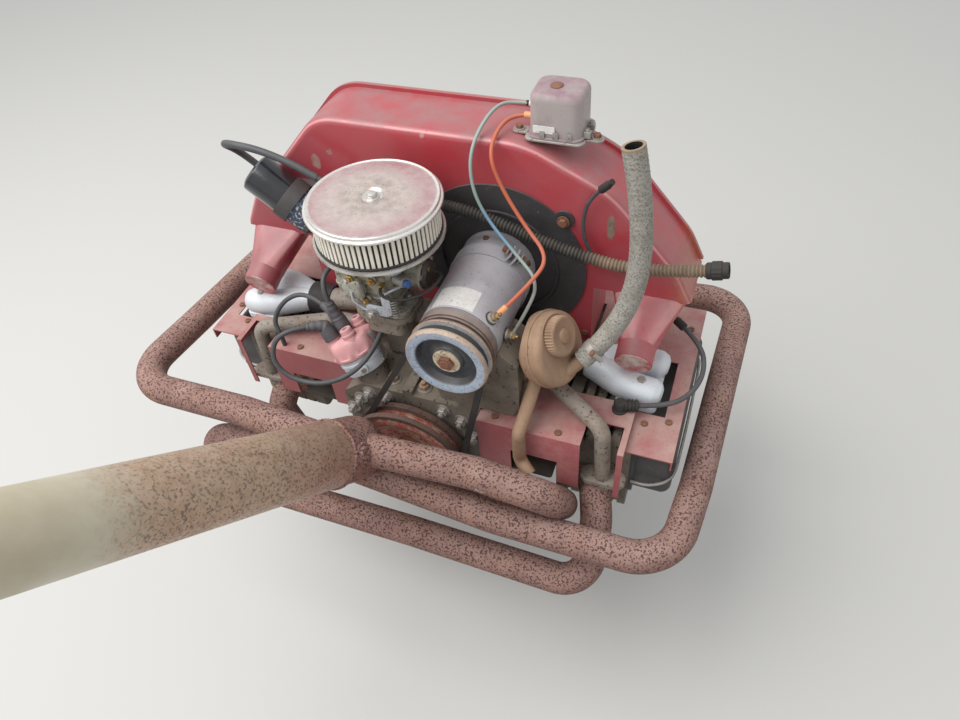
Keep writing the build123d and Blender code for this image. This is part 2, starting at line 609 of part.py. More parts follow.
def make_shroud():
    """The blower housing: an open-bottomed sheet shell with a rolled lip, a fan hole and two heater ducts."""
    depth = SHROUD_FRONT - SHROUD_REAR
    front = Plane(origin=(0, SHROUD_FRONT, 0), x_dir=(1, 0, 0), z_dir=(0, -1, 0))
    inner_front = Plane(origin=(0, SHROUD_FRONT - SHROUD_WALL, 0), x_dir=(1, 0, 0), z_dir=(0, -1, 0))
    shell = extrude(front * shroud_outline(), amount=depth)
    rear_face = shell.faces().sort_by(Axis.Y)[0]
    arch_edges = rear_face.edges().filter_by(lambda edge: edge.center().Z > SHROUD_ARM_Z + SHROUD_EDGE)
    shell = fillet(arch_edges, SHROUD_EDGE)
    lip = extrude(front * offset(shroud_outline(), LIP_HEIGHT), amount=LIP_WIDTH)
    shell += lip & block(-FAR, FAR, -FAR, FAR, SHROUD_ARM_Z + SHROUD_EDGE, FAR)
    hollow = extrude(inner_front * shroud_outline(SHROUD_WALL), amount=depth - 2 * SHROUD_WALL)
    mouths = []
    for side, x_in, x_out in ((-1, -ARM_LEFT_IN, -SHROUD_LEFT), (1, ARM_RIGHT_IN, SHROUD_RIGHT)):
        arm, end, out = shroud_arm(side, x_in, x_out, 0.0)
        core, end, out = shroud_arm(side, x_in, x_out, SHROUD_WALL)
        shell += arm + rod(end, end + out * OUTLET_STUB, OUTLET_RADIUS)
        mouths.append(core + rod(end, end + out * (OUTLET_STUB - SHROUD_WALL), OUTLET_RADIUS - SHROUD_WALL))
    shell -= hollow
    for mouth in mouths:
        shell -= mouth
    wall = 3 * SHROUD_WALL
    shell -= block(-SHROUD_FOOT_X + wall, SHROUD_FOOT_X - wall, SHROUD_REAR + wall, SHROUD_FRONT - wall,
                   SHROUD_BOTTOM - BEYOND, SHROUD_BOTTOM + SHROUD_WALL + BEYOND)
    shell -= turned(DYNAMO_X, DYNAMO_Z, FAN_HOLE, SHROUD_REAR - BEYOND, SHROUD_REAR + SHROUD_WALL + BEYOND)
    shell += turned(DYNAMO_X, DYNAMO_Z, INTAKE_HOLE + SHROUD_EDGE, SHROUD_FRONT, SHROUD_FRONT + LIP_WIDTH)
    shell -= turned(DYNAMO_X, DYNAMO_Z, INTAKE_HOLE, SHROUD_FRONT - wall, SHROUD_FRONT + wall)
    save(shell, "fan_shroud")
    plate = turned(DYNAMO_X, DYNAMO_Z, PLATE_RADIUS, SHROUD_REAR - PLATE_THICKNESS, SHROUD_REAR)
    for turn in range(4):
        angle = radians(PLATE_EAR_ANGLE + 90 * turn)
        reach = PLATE_RADIUS + PLATE_THICKNESS
        plate += turned(DYNAMO_X + cos(angle) * reach, DYNAMO_Z + sin(angle) * reach, PLATE_EAR_RADIUS,
                        SHROUD_REAR - PLATE_THICKNESS, SHROUD_REAR)
    ridge = FAN_RADIUS + SHROUD_WALL
    plate += turned(DYNAMO_X, DYNAMO_Z, ridge + SHROUD_WALL, SHROUD_REAR - 2 * PLATE_THICKNESS, SHROUD_REAR,
                    ridge)
    plate -= turned(DYNAMO_X, DYNAMO_Z, DYNAMO_SHAFT_RADIUS + RUN, SHROUD_REAR - FAN_HUB,
                    SHROUD_REAR + BEYOND)
    save(plate, "fan_backing_plate")


def make_dynamo():
    """The dynamo with its end ring, terminals, strap and stand, and the turning shaft with pulley and fan."""
    ring_front = DYNAMO_REAR + END_RING
    body = turned(DYNAMO_X, DYNAMO_Z, DYNAMO_RADIUS, ring_front + END_GROOVE, DYNAMO_FRONT)
    body += turned(DYNAMO_X, DYNAMO_Z, DYNAMO_RADIUS - END_GROOVE, DYNAMO_REAR, DYNAMO_FRONT)
    body += turned(DYNAMO_X, DYNAMO_Z, DYNAMO_RADIUS, DYNAMO_REAR + END_GROOVE, ring_front)
    for angle, y in TERMINALS:
        spoke = Vector(cos(radians(angle)), 0, sin(radians(angle)))
        foot = Vector(DYNAMO_X, y, DYNAMO_Z) + spoke * (DYNAMO_RADIUS - END_GROOVE)
        body += rod(foot, foot + spoke * (TERMINAL_HEIGHT * 0.4), TERMINAL_RADIUS * 1.3)
        body += rod(foot, foot + spoke * TERMINAL_HEIGHT, TERMINAL_RADIUS * 0.7)
    body -= turned(DYNAMO_X, DYNAMO_Z, DYNAMO_SHAFT_RADIUS + FIT, DYNAMO_REAR - BEYOND, DYNAMO_FRONT + BEYOND)
    save(body, "dynamo_body")
    inner = DYNAMO_RADIUS + SEAT
    low, high = STRAP_Y - STRAP_WIDTH / 2, STRAP_Y + STRAP_WIDTH / 2
    band = turned(DYNAMO_X, DYNAMO_Z, inner + STRAP_WALL, low, high)
    lug = block(DYNAMO_RADIUS, inner + STRAP_WIDTH * 0.8, low, high, AIR, AIR + STRAP_WALL)
    for side_lug in (lug, lug.mirror(Plane.XY)):
        band += Pos(DYNAMO_X, 0, DYNAMO_Z) * Rot(0, -STRAP_LUG_ANGLE, 0) * side_lug
    band -= turned(DYNAMO_X, DYNAMO_Z, inner, -FAR, 0)
    save(band, "dynamo_strap")
    stand_front = STAND_REAR + STAND_LENGTH
    outline = make_face(Polyline((STAND_LEFT, CASE_TOP), (STAND_RIGHT - STAND_WAIST, CASE_TOP),
                                 (STAND_RIGHT, CASE_TOP + 2 * STAND_WAIST),
                                 (STAND_RIGHT, DYNAMO_Z - 3 * STAND_WAIST),
                                 (DYNAMO_X + DYNAMO_RADIUS, DYNAMO_Z - STAND_WAIST),
                                 (DYNAMO_X - DYNAMO_RADIUS + STAND_WAIST, DYNAMO_Z - STAND_WAIST),
                                 (STAND_LEFT - STAND_WAIST, CASE_TOP + 5 * STAND_WAIST), close=True))
    outline = fillet(outline.vertices().filter_by(lambda spot: spot.Y > CASE_TOP + BEYOND), STAND_WAIST / 2)
    rear = Plane(origin=(0, STAND_REAR, 0), x_dir=(1, 0, 0), z_dir=(0, -1, 0))
    stand = extrude(rear * outline, amount=-STAND_LENGTH)
    stand -= turned(DYNAMO_X, DYNAMO_Z, inner, STAND_REAR - BEYOND, stand_front + BEYOND)
    save(stand, "dynamo_stand")
    fan_front = FAN_REAR + FAN_WIDTH
    rear_end = BELT_Y - DYNAMO_PULLEY_WIDTH / 2
    save(turned(DYNAMO_X, DYNAMO_Z, DYNAMO_SHAFT_RADIUS, rear_end, fan_front), "dynamo_shaft")
    save(grooved_pulley(DYNAMO_X, DYNAMO_Z, DYNAMO_PULLEY_RADIUS, DYNAMO_PULLEY_WIDTH, DYNAMO_PULLEY_DISH,
                        DYNAMO_SHAFT_RADIUS), "dynamo_pulley")
    fan = turned(DYNAMO_X, DYNAMO_Z, FAN_RADIUS, fan_front - FAN_SHEET, fan_front, DYNAMO_SHAFT_RADIUS)
    fan += turned(DYNAMO_X, DYNAMO_Z, FAN_HUB, FAN_REAR, fan_front, DYNAMO_SHAFT_RADIUS)
    fan += turned(DYNAMO_X, DYNAMO_Z, FAN_RADIUS, FAN_REAR, FAN_REAR + FAN_SHEET, FAN_EYE)
    blade = block(FAN_EYE + BEYOND, FAN_RADIUS - BEYOND, FAN_REAR, fan_front, -1, 1)
    for step in range(FAN_BLADES):
        fan += Pos(DYNAMO_X, 0, DYNAMO_Z) * Rot(0, step * 360 / FAN_BLADES, 0) * blade
    save(fan, "blower_fan")


def intake_runner(side, y):
    """The middle line of one intake runner, from the carburettor's foot to the end casting's boot."""
    boot_x = side * (CASTING_IN - BOOT_LENGTH + BOOT_RADIUS / 2)
    return [(CARB_X, CARB_Y + 22, MANIFOLD_Z), (CARB_X + side * 45, CARB_Y + 40, MANIFOLD_Z - 14),
            (boot_x - side * 56, y - 2, CASTING_Z + 14), (boot_x, y, CASTING_Z)]


def make_castings():
    """The twin-lobed end castings and the rubber boots that join them to the manifold."""
    boots = []
    castings = []
    for side, name, middle, y in BANKS:
        flare = [(-BOOT_LENGTH + BOOT_RADIUS / 2, RUNNER_RADIUS), (10, RUNNER_RADIUS), (44, LOBE_HALF_WIDTH),
                 (LOBE_REACH, LOBE_HALF_WIDTH), (LOBE_REACH, LOBE_NOTCH), (LOBE_REACH - 34, 0)]
        outline = flare + [(u, -v) for u, v in reversed(flare[:-1])]
        plan = make_face(Polyline(*[(side * (CASTING_IN + u), y + v) for u, v in outline], close=True))
        plan = fillet(plan.vertices().filter_by(lambda spot: abs(spot.X) > CASTING_IN), LOBE_NOTCH * 0.3)
        casting = Pos(0, 0, CASTING_Z - RUNNER_RADIUS) * extrude(plan, amount=2 * RUNNER_RADIUS)
        casting = fillet(casting.faces().sort_by(Axis.Z)[-1].edges(), LOBE_ROUND)
        casting += side_block(side, CASTING_IN + 20, HEAD_OUT - AIR, y - LOBE_HALF_WIDTH * 0.8,
                              y + LOBE_HALF_WIDTH * 0.8, HEAD_TOP, CASTING_Z - RUNNER_RADIUS)
        castings.append(casting)
        save(casting, f"intake_casting_{name}")
        sleeve = rod((side * (CASTING_IN - BOOT_LENGTH - 8), y, CASTING_Z),
                     (side * (CASTING_IN - 8), y, CASTING_Z), BOOT_RADIUS)
        boots.append(sleeve)
    return castings, boots


def make_manifold(castings, boots):
    """The manifold under the carburettor, with its two runners and the hot-spot box below."""
    manifold = pad(CARB_X, CARB_Y, 58, 50, 12, MANIFOLD_Z - 6, CARB_BASE_Z - MANIFOLD_FOOT)
    manifold += pad(CARB_X, CARB_Y, 82, 62, 18, CARB_BASE_Z - MANIFOLD_FOOT, CARB_BASE_Z)
    manifold += pad(CARB_X, RISER_Y - 6, 44, 40, 8, RISER_Z - RISER_RADIUS - AIR, MANIFOLD_Z)
    for side, name, middle, y in BANKS:
        manifold += tube(intake_runner(side, y), [24, 40], RUNNER_RADIUS)
    manifold -= turned(DYNAMO_X, DYNAMO_Z, DYNAMO_RADIUS + STRAP_WALL + AIR, STAND_REAR, DYNAMO_FRONT)
    for casting in castings:
        manifold -= casting
    save(biggest(manifold), "intake_manifold")
    for casting in castings:
        boots = [boot - casting for boot in boots]
    save_group([biggest(boot - manifold) for boot in boots], "intake_boots")


def make_carburettor():
    """The carburettor: slabs for foot, bowl and deck, bars for throat, choke and pump, and the air horn."""
    foot = Vector(CARB_X, CARB_Y, CARB_BASE_Z)
    body = upright(CLEANER_X, CLEANER_Y, AIR_HORN_RADIUS, CARB_BASE_Z + CARB_DECK, CLEANER_BASE_Z)
    for x, y, length, width, corner, low, high in CARB_SLABS:
        body += pad(CARB_X + x, CARB_Y + y, length, width, corner, CARB_BASE_Z + low, CARB_BASE_Z + high)
    for start, end, radius in CARB_BARS:
        body += rod(foot + Vector(*start), foot + Vector(*end), radius)
    save(body - turned(DYNAMO_X, DYNAMO_Z, DYNAMO_RADIUS + AIR, DYNAMO_REAR, DYNAMO_FRONT), "carburettor")


def make_air_cleaner():
    """The round air cleaner: dished base, pleated element and stepped lid with its centre bolt."""
    centre = Plane(origin=(CLEANER_X, CLEANER_Y, 0), x_dir=(1, 0, 0), z_dir=(0, -1, 0))
    axis = Axis((CLEANER_X, CLEANER_Y, 0), (0, 0, 1))
    floor = CLEANER_BASE_Z
    element_low = floor + BASE_HEIGHT * 0.6
    rim = CLEANER_RADIUS - 2
    base = Polyline((0, floor), (rim * 0.55, floor), (rim * 0.9, floor + BASE_HEIGHT * 0.3),
                    (rim, floor + BASE_HEIGHT * 0.6), (rim, floor + BASE_HEIGHT), (rim - 3, floor + BASE_HEIGHT),
                    (rim - 3, element_low), (0, element_low), close=True)
    save(revolve(centre * make_face(base), axis=axis), "air_cleaner_base")
    element_high = CLEANER_TOP - LID_HEIGHT
    spots = []
    for pleat in range(PLEAT_COUNT):
        for share, radius in ((0.0, ELEMENT_RADIUS), (0.55, ELEMENT_RADIUS), (0.78, ELEMENT_RADIUS - PLEAT_DEPTH)):
            angle = radians(360 * (pleat + share) / PLEAT_COUNT)
            spots.append((radius * cos(angle), radius * sin(angle)))
    pleats = make_face(Polyline(*spots, close=True))
    save(Pos(CLEANER_X, CLEANER_Y, element_low) * extrude(pleats, amount=element_high - element_low),
         "air_cleaner_element")
    low = element_high
    step = LID_HEIGHT * 0.25
    lid = Polyline((0, low), (CLEANER_RADIUS, low), (CLEANER_RADIUS, low + 2 * step),
                   (CLEANER_RADIUS - 5, CLEANER_TOP - step), (CLEANER_RADIUS * 0.9, CLEANER_TOP - step),
                   (CLEANER_RADIUS * 0.87, CLEANER_TOP - 2 * step), (CLEANER_RADIUS * 0.66, CLEANER_TOP - step),
                   (CLEANER_RADIUS * 0.6, CLEANER_TOP), (17, CLEANER_TOP - step), (11, CLEANER_TOP - 2 * step),
                   (7, CLEANER_TOP - 2 * step), (7, CLEANER_TOP + step), (0, CLEANER_TOP + step), close=True)
    save(revolve(centre * make_face(lid), axis=axis), "air_cleaner_lid")


def make_distributor():
    """The leaning distributor with its towered cap, and the three rubber boots on the near towers."""
    body = rod(distributor_point(DISTRIBUTOR_SEAT), distributor_point(BOWL_RISE + AIR), DISTRIBUTOR_RADIUS * 0.45)
    body += rod(distributor_point(BOWL_RISE), distributor_point(CAP_RISE), DISTRIBUTOR_RADIUS)
    save(body, "distributor")
    shelf = CAP_RISE + CAP_STEP
    cap = rod(distributor_point(CAP_RISE), distributor_point(shelf), CAP_RADIUS)
    cap += rod(distributor_point(shelf), distributor_point(shelf + CAP_STEP), CAP_RADIUS * 0.84)
    axis = (Vector(*distributor_point(1)) - Vector(*distributor_point(0))).normalized()
    across = (Vector(1, 0, 0) - axis * axis.X).normalized()
    along = axis.cross(across)
    middle = Vector(*distributor_point(0))
    towers = {}
    for name, share, angle in TOWERS:
        reach = share * TOWER_CIRCLE
        foot = middle + across * (reach * cos(radians(angle))) + along * (reach * sin(radians(angle)))
        cap += rod(foot + axis * shelf, foot + axis * TOWER_TOP, TOWER_RADIUS)
        towers[name] = foot
    save(cap, "distributor_cap")
    boots = []
    for tower, bend in BOOT_BENDS:
        foot = towers[tower] + axis * TOWER_TOP
        knee = foot + axis * BOOT_RISE
        boot = rod(foot, knee + axis * TOWER_RADIUS * 0.7, TOWER_RADIUS)
        boot += rod(knee, knee + Vector(*bend).normalized() * BOOT_REACH, TOWER_RADIUS * 0.8)
        boots.append(boot)
    save_group(boots, "lead_boots")


def make_coil():
    """The ignition coil with its clamp on the blower housing."""
    slope = radians(COIL_TILT)
    reach = COIL_LENGTH / 2
    direction = Vector(cos(slope), 0, -sin(slope))
    middle = Vector(COIL_X, COIL_Y, COIL_Z)
    coil = rod(middle - direction * reach, middle + direction * (reach - COIL_HEAD), COIL_RADIUS)
    coil += rod(middle + direction * (reach - COIL_HEAD), middle + direction * reach, COIL_RADIUS - COIL_HEAD / 3)
    coil += rod(middle - direction * (reach + COIL_CROWN), middle - direction * reach, COIL_RADIUS - AIR)
    save(coil, "ignition_coil")
    half = CLAMP_WIDTH / 2
    band = rod(middle - direction * half, middle + direction * half, COIL_RADIUS + SEAT + STRAP_WALL)
    foot = block(COIL_X - CLAMP_HALF, COIL_X + CLAMP_HALF, COIL_Y + COIL_RADIUS * 0.7, SHROUD_REAR,
                 COIL_Z - COIL_HEAD, COIL_Z + COIL_HEAD)
    core = rod(middle - direction * COIL_LENGTH, middle + direction * COIL_LENGTH, COIL_RADIUS + SEAT)
    hose = Vector(*FUEL_START)
    elbow = hose + (hose - Vector(*FUEL_KNEE)).normalized() * FITTING_LENGTH
    fitting = rod(elbow, hose, FITTING_RADIUS) + Pos(*elbow) * Sphere(FITTING_RADIUS)
    fitting += rod(elbow, Vector(elbow.X, SHROUD_REAR, elbow.Z), FITTING_RADIUS)
    save_group([band + foot - core, fitting], "coil_clamp")


def make_regulator():
    """The voltage regulator on top of the housing: eared base plate and domed can with a small boss."""
    foot = SHROUD_TOP + REGULATOR_FOOT
    high = foot + REGULATOR_HEIGHT
    base = pad(REGULATOR_X, REGULATOR_Y, REGULATOR_LENGTH + REGULATOR_FLANGE, REGULATOR_WIDTH + EAR_CORNER,
               REGULATOR_FLANGE, SHROUD_TOP, foot)
    for side in (-1, 1):
        for end in (-1, 1):
            x = REGULATOR_X + side * (REGULATOR_LENGTH / 2 + REGULATOR_CROWN)
            y = REGULATOR_Y + end * (EAR_WIDTH + BEYOND)
            base += pad(x, y, EAR_LENGTH, EAR_WIDTH, EAR_CORNER, SHROUD_TOP, foot)
    can = pad(REGULATOR_X, REGULATOR_Y, REGULATOR_LENGTH, REGULATOR_WIDTH, REGULATOR_CORNER, foot, high)
    can = fillet(can.faces().sort_by(Axis.Z)[-1].edges(), REGULATOR_CROWN)
    can += upright(REGULATOR_X + REGULATOR_FLANGE, REGULATOR_Y + REGULATOR_FLANGE, REGULATOR_BOSS, foot,
                   high + STRAP_WALL)
    save(base + can, "voltage_regulator")


def make_filler():
    """The oil filler and breather drum on an arm of the dynamo stand, its cap, spigot and drain pipe."""
    axis = Vector(*FILLER_AXIS).normalized()
    middle = Vector(FILLER_X, FILLER_Y, FILLER_Z)
    low = middle - axis * (FILLER_DEPTH / 2)
    high = middle + axis * (FILLER_DEPTH / 2)
    drum = rod(low, high, FILLER_RADIUS)
    drum = fillet(drum.edges().filter_by(GeomType.CIRCLE), FILLER_ROUND)
    arm_start = (STAND_RIGHT, FILLER_Y, (CASE_TOP + FILLER_Z) / 2)
    arm = rod(Vector(*arm_start) - Vector(STAND_WAIST, 0, 0), low + axis * FILLER_ROUND, FILLER_RADIUS * 0.45)
    hose = Vector(*HOSE_START)
    back = (hose - Vector(*HOSE_KNEE)).normalized()
    drum += rod(hose + back * SPIGOT_LENGTH, hose, FILLER_ROUND)
    drain = tube(DRAIN, DRAIN_BENDS, DRAIN_RADIUS)
    filler = drum + arm + drain
    save(biggest(filler - block(-FAR, STAND_RIGHT, -FAR, 0, CASE_TOP, FAR)), "oil_filler")
    up = (Vector(0, 0, 1) - axis * axis.Z).normalized()
    seat = high + up * FILLER_CAP_RISE
    cap = rod(seat, seat + axis * FILLER_CAP_HEIGHT, FILLER_CAP_RADIUS)
    cap = fillet(cap.faces().sort_by(Axis(seat, axis))[-1].edges(), 4)
    save(cap, "oil_filler_cap")


def make_connectors():
    """The loom's socket on the housing, its free round plug, and the spark plug's connector on the right tin."""
    x, y, z = LOOM_START
    half = SOCKET_SIZE / 2
    socket = block(x - SOCKET_SIZE, x, y - half, SHROUD_REAR, z - half, z + half)
    end = Vector(*LOOM_END)
    along = (end - Vector(*LOOM_KNEE)).normalized()
    loom_plug = rod(end, end + along * LOOM_PLUG_LENGTH, LOOM_PLUG_RADIUS)
    lead = Vector(*PLUG_START)
    back = lead - (Vector(*PLUG_KNEE) - lead).normalized() * PLUG_LENGTH
    connector = rod(back, lead, PLUG_RADIUS)
    connector += upright(back.X, back.Y, PLUG_RADIUS * 1.2, TIN_TOP + TIN_WALL, back.Z)
    save_group([socket, loom_plug, connector], "connectors")


def make_tinware():
    """Pressed covers over each pair of cylinders, with a lower ledge outside and a rear skirt."""
    for side, name, middle, y in BANKS:
        rear = middle - HEAD_LENGTH / 2 - TIN_OVERHANG
        front = middle + HEAD_LENGTH / 2
        top = TIN_TOP + TIN_WALL
        tin = side_block(side, TIN_IN, TIN_OUT, rear, front, TIN_TOP, top)
        tin += side_block(side, TIN_IN, TIN_IN + TIN_WALL, rear, front, TIN_TOP - TIN_LIP, top)
        tin += side_block(side, TIN_OUT - TIN_WALL, TIN_OUT, rear, front, LEDGE_Z, top)
        tin += side_block(side, TIN_OUT - TIN_WALL, LEDGE_OUT, rear + TIN_OVERHANG / 2, front, LEDGE_Z,
                          LEDGE_Z + TIN_WALL)
        tin += side_block(side, LEDGE_OUT - TIN_WALL, LEDGE_OUT, rear + TIN_OVERHANG / 2, front,
                          LEDGE_Z - LEDGE_LIP, LEDGE_Z + TIN_WALL)
        skirt = side_block(side, TIN_IN, TIN_OUT, rear, rear + TIN_WALL, TIN_TOP - TIN_DROP, top)
        skirt -= side_block(side, HEAD_IN - 56, HEAD_IN + 10, rear - BEYOND, rear + TIN_WALL + BEYOND,
                            TIN_TOP - TIN_DROP - BEYOND, TIN_TOP - TIN_DROP / 2)
        tin += skirt
        tin -= block(-SHROUD_FOOT_X - AIR, SHROUD_FOOT_X + AIR, SHROUD_REAR - AIR, SHROUD_FRONT + AIR, 0, FAR)
        tin -= side_block(side, CASTING_IN - BOOT_LENGTH - 20, CASTING_OUT + 10, y - LOBE_HALF_WIDTH - AIR,
                          y + LOBE_HALF_WIDTH + AIR, 0, FAR)
        tin -= side_block(side, RISER_X - RISER_HOLE_IN, RISER_X + RISER_HOLE_OUT, rear - BEYOND,
                          middle - HEAD_LENGTH / 2 + RISER_RADIUS, -FAR, FAR)
        save_group([tin], f"cylinder_tin_{name}")


def make_header():
    """Four primary tubes with their flanges, the collector, the heat risers and the raised tail pipe."""
    collector = Vector(*COLLECTOR)
    rise, turn = radians(STINGER_RISE), radians(STINGER_TURN)
    out = Vector(-cos(rise) * sin(turn), -cos(rise) * cos(turn), sin(rise))
    back = collector - out * RUN
    box = rod(back, collector + out * COLLECTOR_REACH, STINGER_RADIUS)
    box += Pos(*back) * Sphere(STINGER_RADIUS)
    save(box, "header_collector")
    ports = {}
    for side, name, middle, y in BANKS:
        ports[name + "_front"] = (side * PORT_X, middle + HEAD_LENGTH / 2, PORT_Z)
        ports[name + "_rear"] = (side * PORT_X, middle - HEAD_LENGTH / 2, PORT_Z)
    made = box
    for side, name, middle, y in BANKS:
        made += head_block(side, middle)
    for name, (route, bends) in header_routes(ports).items():
        x, y, z = ports[name]
        facing = 1 if name.endswith("front") else -1
        low, high = sorted((y, y + facing * FLANGE_THICKNESS))
        flange = block(x - FLANGE_LENGTH / 2, x + FLANGE_LENGTH / 2, low, high, z - FLANGE_HEIGHT / 2,
                       z + FLANGE_HEIGHT / 2)
        flange = fillet(flange.edges().filter_by(Axis.Y), FLANGE_HEIGHT * 0.4)
        primary = biggest(tube(route, bends, TUBE_RADIUS) + flange - made)
        print(name, primary.is_valid, round(primary.volume))
        save(primary, f"header_tube_{name}")
        made += primary
    risers = []
    for side, name, middle, y in BANKS:
        down_y = middle - HEAD_LENGTH / 2 - RISER_GAP
        start_x = CARB_X + side * 22
        over_tin = TIN_TOP + TIN_WALL + AIR + RISER_RADIUS
        route = [(start_x, RISER_Y, RISER_Z), (side * RISER_BEND_X, RISER_Y, RISER_Z),
                 (side * (RISER_X - 6), down_y + 4, over_tin), (side * RISER_X, down_y, PORT_Z)]
        riser = tube(route, [40, 20], RISER_RADIUS)
        plate = Pos(side * RISER_X, down_y, PORT_Z + FLANGE_HEIGHT / 2) * extrude(
            RectangleRounded(62, 2 * RISER_GAP - 2, RISER_GAP - 2), amount=FLANGE_THICKNESS - 1)
        risers.append(biggest(riser + plate - made))
    save_group(risers, "heat_risers")
    start = collector + out * COLLECTOR_REACH
    save(rod(start, start + out * STINGER_LENGTH, STINGER_RADIUS, STINGER_RADIUS - STINGER_WALL), "stinger")


def header_routes(ports):
    """Each primary tube's corner points and bend radii, from its port to the collector."""
    rear = BELT_Y - 65.0
    side_x = HEAD_OUT + COVER_DEPTH + 2 * TUBE_RADIUS
    front_y = 60.0
    return {
        "right_front": ([ports["right_front"], (PORT_X, front_y, -18), (side_x + 4, front_y, -10),
                         (side_x - 12, rear + 126, -8), (side_x - 24, rear + 2, -14), (150, rear, -10),
                         (-40, rear - 6, 32)], [58, 58, 80, 66, 90]),
        "left_front": ([ports["left_front"], (-PORT_X, front_y + 2, -10), (-side_x - 10, front_y + 2, 20),
                        (-side_x - 22, rear + 176, 44), (-side_x - 36, rear + 20, 50), (-230, rear + 12, 66),
                        (-60, rear - 6, 76)], [56, 56, 90, 66, 90]),
        "right_rear": ([ports["right_rear"], (PORT_X + 18, rear + 56, -44), (284, rear - 14, -104),
                        (20, rear - 12, -98), (-310, rear - 8, -110), (-332, rear + 16, -36),
                        (-200, rear + 6, 2), (-56, rear - 6, 50)], [60, 40, 200, 38, 38, 60]),
        "left_rear": ([ports["left_rear"], (-PORT_X, rear + 108, -50), (-236, rear + 108, -136),
                       (170, rear + 108, -136), (228, rear + 66, -40), (230, rear + 16, 46),
                       (130, rear + 12, 68), (-44, rear - 6, 84)], [24, 44, 50, 40, 44, 60]),
    }


def cord_bends(points):
    """The largest arcs that a cord's runs allow, one for each inner point."""
    spots = [Vector(*point) for point in points]
    bends = []
    for before, here, after in zip(spots, spots[1:], spots[2:]):
        run_in = here - before
        run_out = after - here
        turn = run_in.get_angle(run_out)
        bends.append(0.45 * min(run_in.length, run_out.length) / tan(radians(turn) / 2))
    return bends


def save_cord(name, radius, points):
    """Write a cord's tube, and print its bend radii and its volume against its length."""
    bends = cord_bends(points)
    path = FilletPolyline(*points, radius=bends)
    solid = sweep(Plane(origin=path @ 0, z_dir=path % 0) * Circle(radius), path=path)
    full = path.length * Circle(radius).area
    print(name, "length", round(path.length, 1), "volume share", round(solid.volume / full, 4),
          "smallest bend", round(min(bends), 1), "diameters", round(min(bends) / radius / 2, 1))
    save(solid, name)


make_crankcase()
pushrod_tubes = []
for bank_side, bank_name, bank_middle, casting_y in BANKS:
    pushrod_tubes += make_bank(bank_side, bank_name, bank_middle)
save_group(pushrod_tubes, "pushrod_tubes")
make_crank_body()
make_belt()
make_shroud()
make_dynamo()
made_castings, made_boots = make_castings()
make_manifold(made_castings, made_boots)
make_carburettor()
make_air_cleaner()
make_distributor()
make_coil()
make_regulator()
make_filler()
make_connectors()
make_tinware()
make_header()
for cord_name, cord_radius, cord_points in CORDS:
    save_cord(cord_name, cord_radius, cord_points)
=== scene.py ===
import logging
import math
from dataclasses import dataclass
from enum import Enum
from typing import Sequence

import bmesh
import bpy
import numpy as np
from mathutils import Matrix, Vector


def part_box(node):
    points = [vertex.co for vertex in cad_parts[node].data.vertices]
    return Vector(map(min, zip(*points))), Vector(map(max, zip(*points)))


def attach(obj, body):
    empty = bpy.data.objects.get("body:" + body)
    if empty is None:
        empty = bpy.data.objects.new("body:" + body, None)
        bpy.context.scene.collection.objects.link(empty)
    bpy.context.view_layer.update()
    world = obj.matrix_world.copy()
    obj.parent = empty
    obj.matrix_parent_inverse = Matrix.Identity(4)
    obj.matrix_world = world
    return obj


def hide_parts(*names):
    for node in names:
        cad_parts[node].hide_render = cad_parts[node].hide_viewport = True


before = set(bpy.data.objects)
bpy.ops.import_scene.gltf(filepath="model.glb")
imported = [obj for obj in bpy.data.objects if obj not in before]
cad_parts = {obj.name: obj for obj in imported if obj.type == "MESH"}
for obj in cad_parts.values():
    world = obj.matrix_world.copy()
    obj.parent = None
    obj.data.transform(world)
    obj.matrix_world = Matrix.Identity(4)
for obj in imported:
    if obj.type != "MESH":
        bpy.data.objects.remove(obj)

logging.basicConfig(level=logging.INFO, format="%(message)s")
log = logging.getLogger("engine")

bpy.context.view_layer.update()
MM = 0.001
Vec = Sequence[float]
Places = tuple[Vec, ...]
Tree, Socket = bpy.types.NodeTree, bpy.types.NodeSocket
Profile = Sequence[tuple[float, float]]
LEFT, RIGHT = -1, 1
UP, AHEAD, REARWARD, RIGHTWARD = (0.0, 0.0, 1.0), (0.0, 1.0, 0.0), (0.0, -1.0, 0.0), (1.0, 0.0, 0.0)
FULL_TURN = 2 * math.pi


class Body(Enum):
    """The rigid bodies that pieces ride on."""

    ENGINE = "engine"
    ROTOR = "dynamo_rotor"


class Measure(Enum):
    """What a zone's distance is measured from: away from an axis, or along it."""

    AROUND = 0
    ALONG = 1


AROUND, ALONG = Measure


# Colour and shader nodes


def linear(code: str) -> tuple[float, float, float, float]:
    """Turn an sRGB hex code into a linear colour.

    Args:
        code: six hex digits after a hash.

    Returns:
        Red, green, blue and an alpha of one.
    """
    parts = np.array([int(code[i:i + 2], 16) for i in (1, 3, 5)]) / 255
    values = np.where(parts <= 0.04045, parts / 12.92, ((parts + 0.055) / 1.055) ** 2.4)
    return (*values.tolist(), 1.0)


def bare_tree(owner: bpy.types.Material | bpy.types.World) -> Tree:
    """Switch a material or a world to nodes, and clear them.

    Args:
        owner: the material or world.

    Returns:
        Its empty node tree.
    """
    owner.use_nodes = True
    owner.node_tree.nodes.clear()
    return owner.node_tree


def in_scene(name: str, data: bpy.types.ID) -> bpy.types.Object:
    """Make an object of a mesh, curve, light or camera, and link it to the scene.

    Args:
        name: the object's name.
        data: what it shows.

    Returns:
        The new object.
    """
    made = bpy.data.objects.new(name, data)
    bpy.context.scene.collection.objects.link(made)
    return made


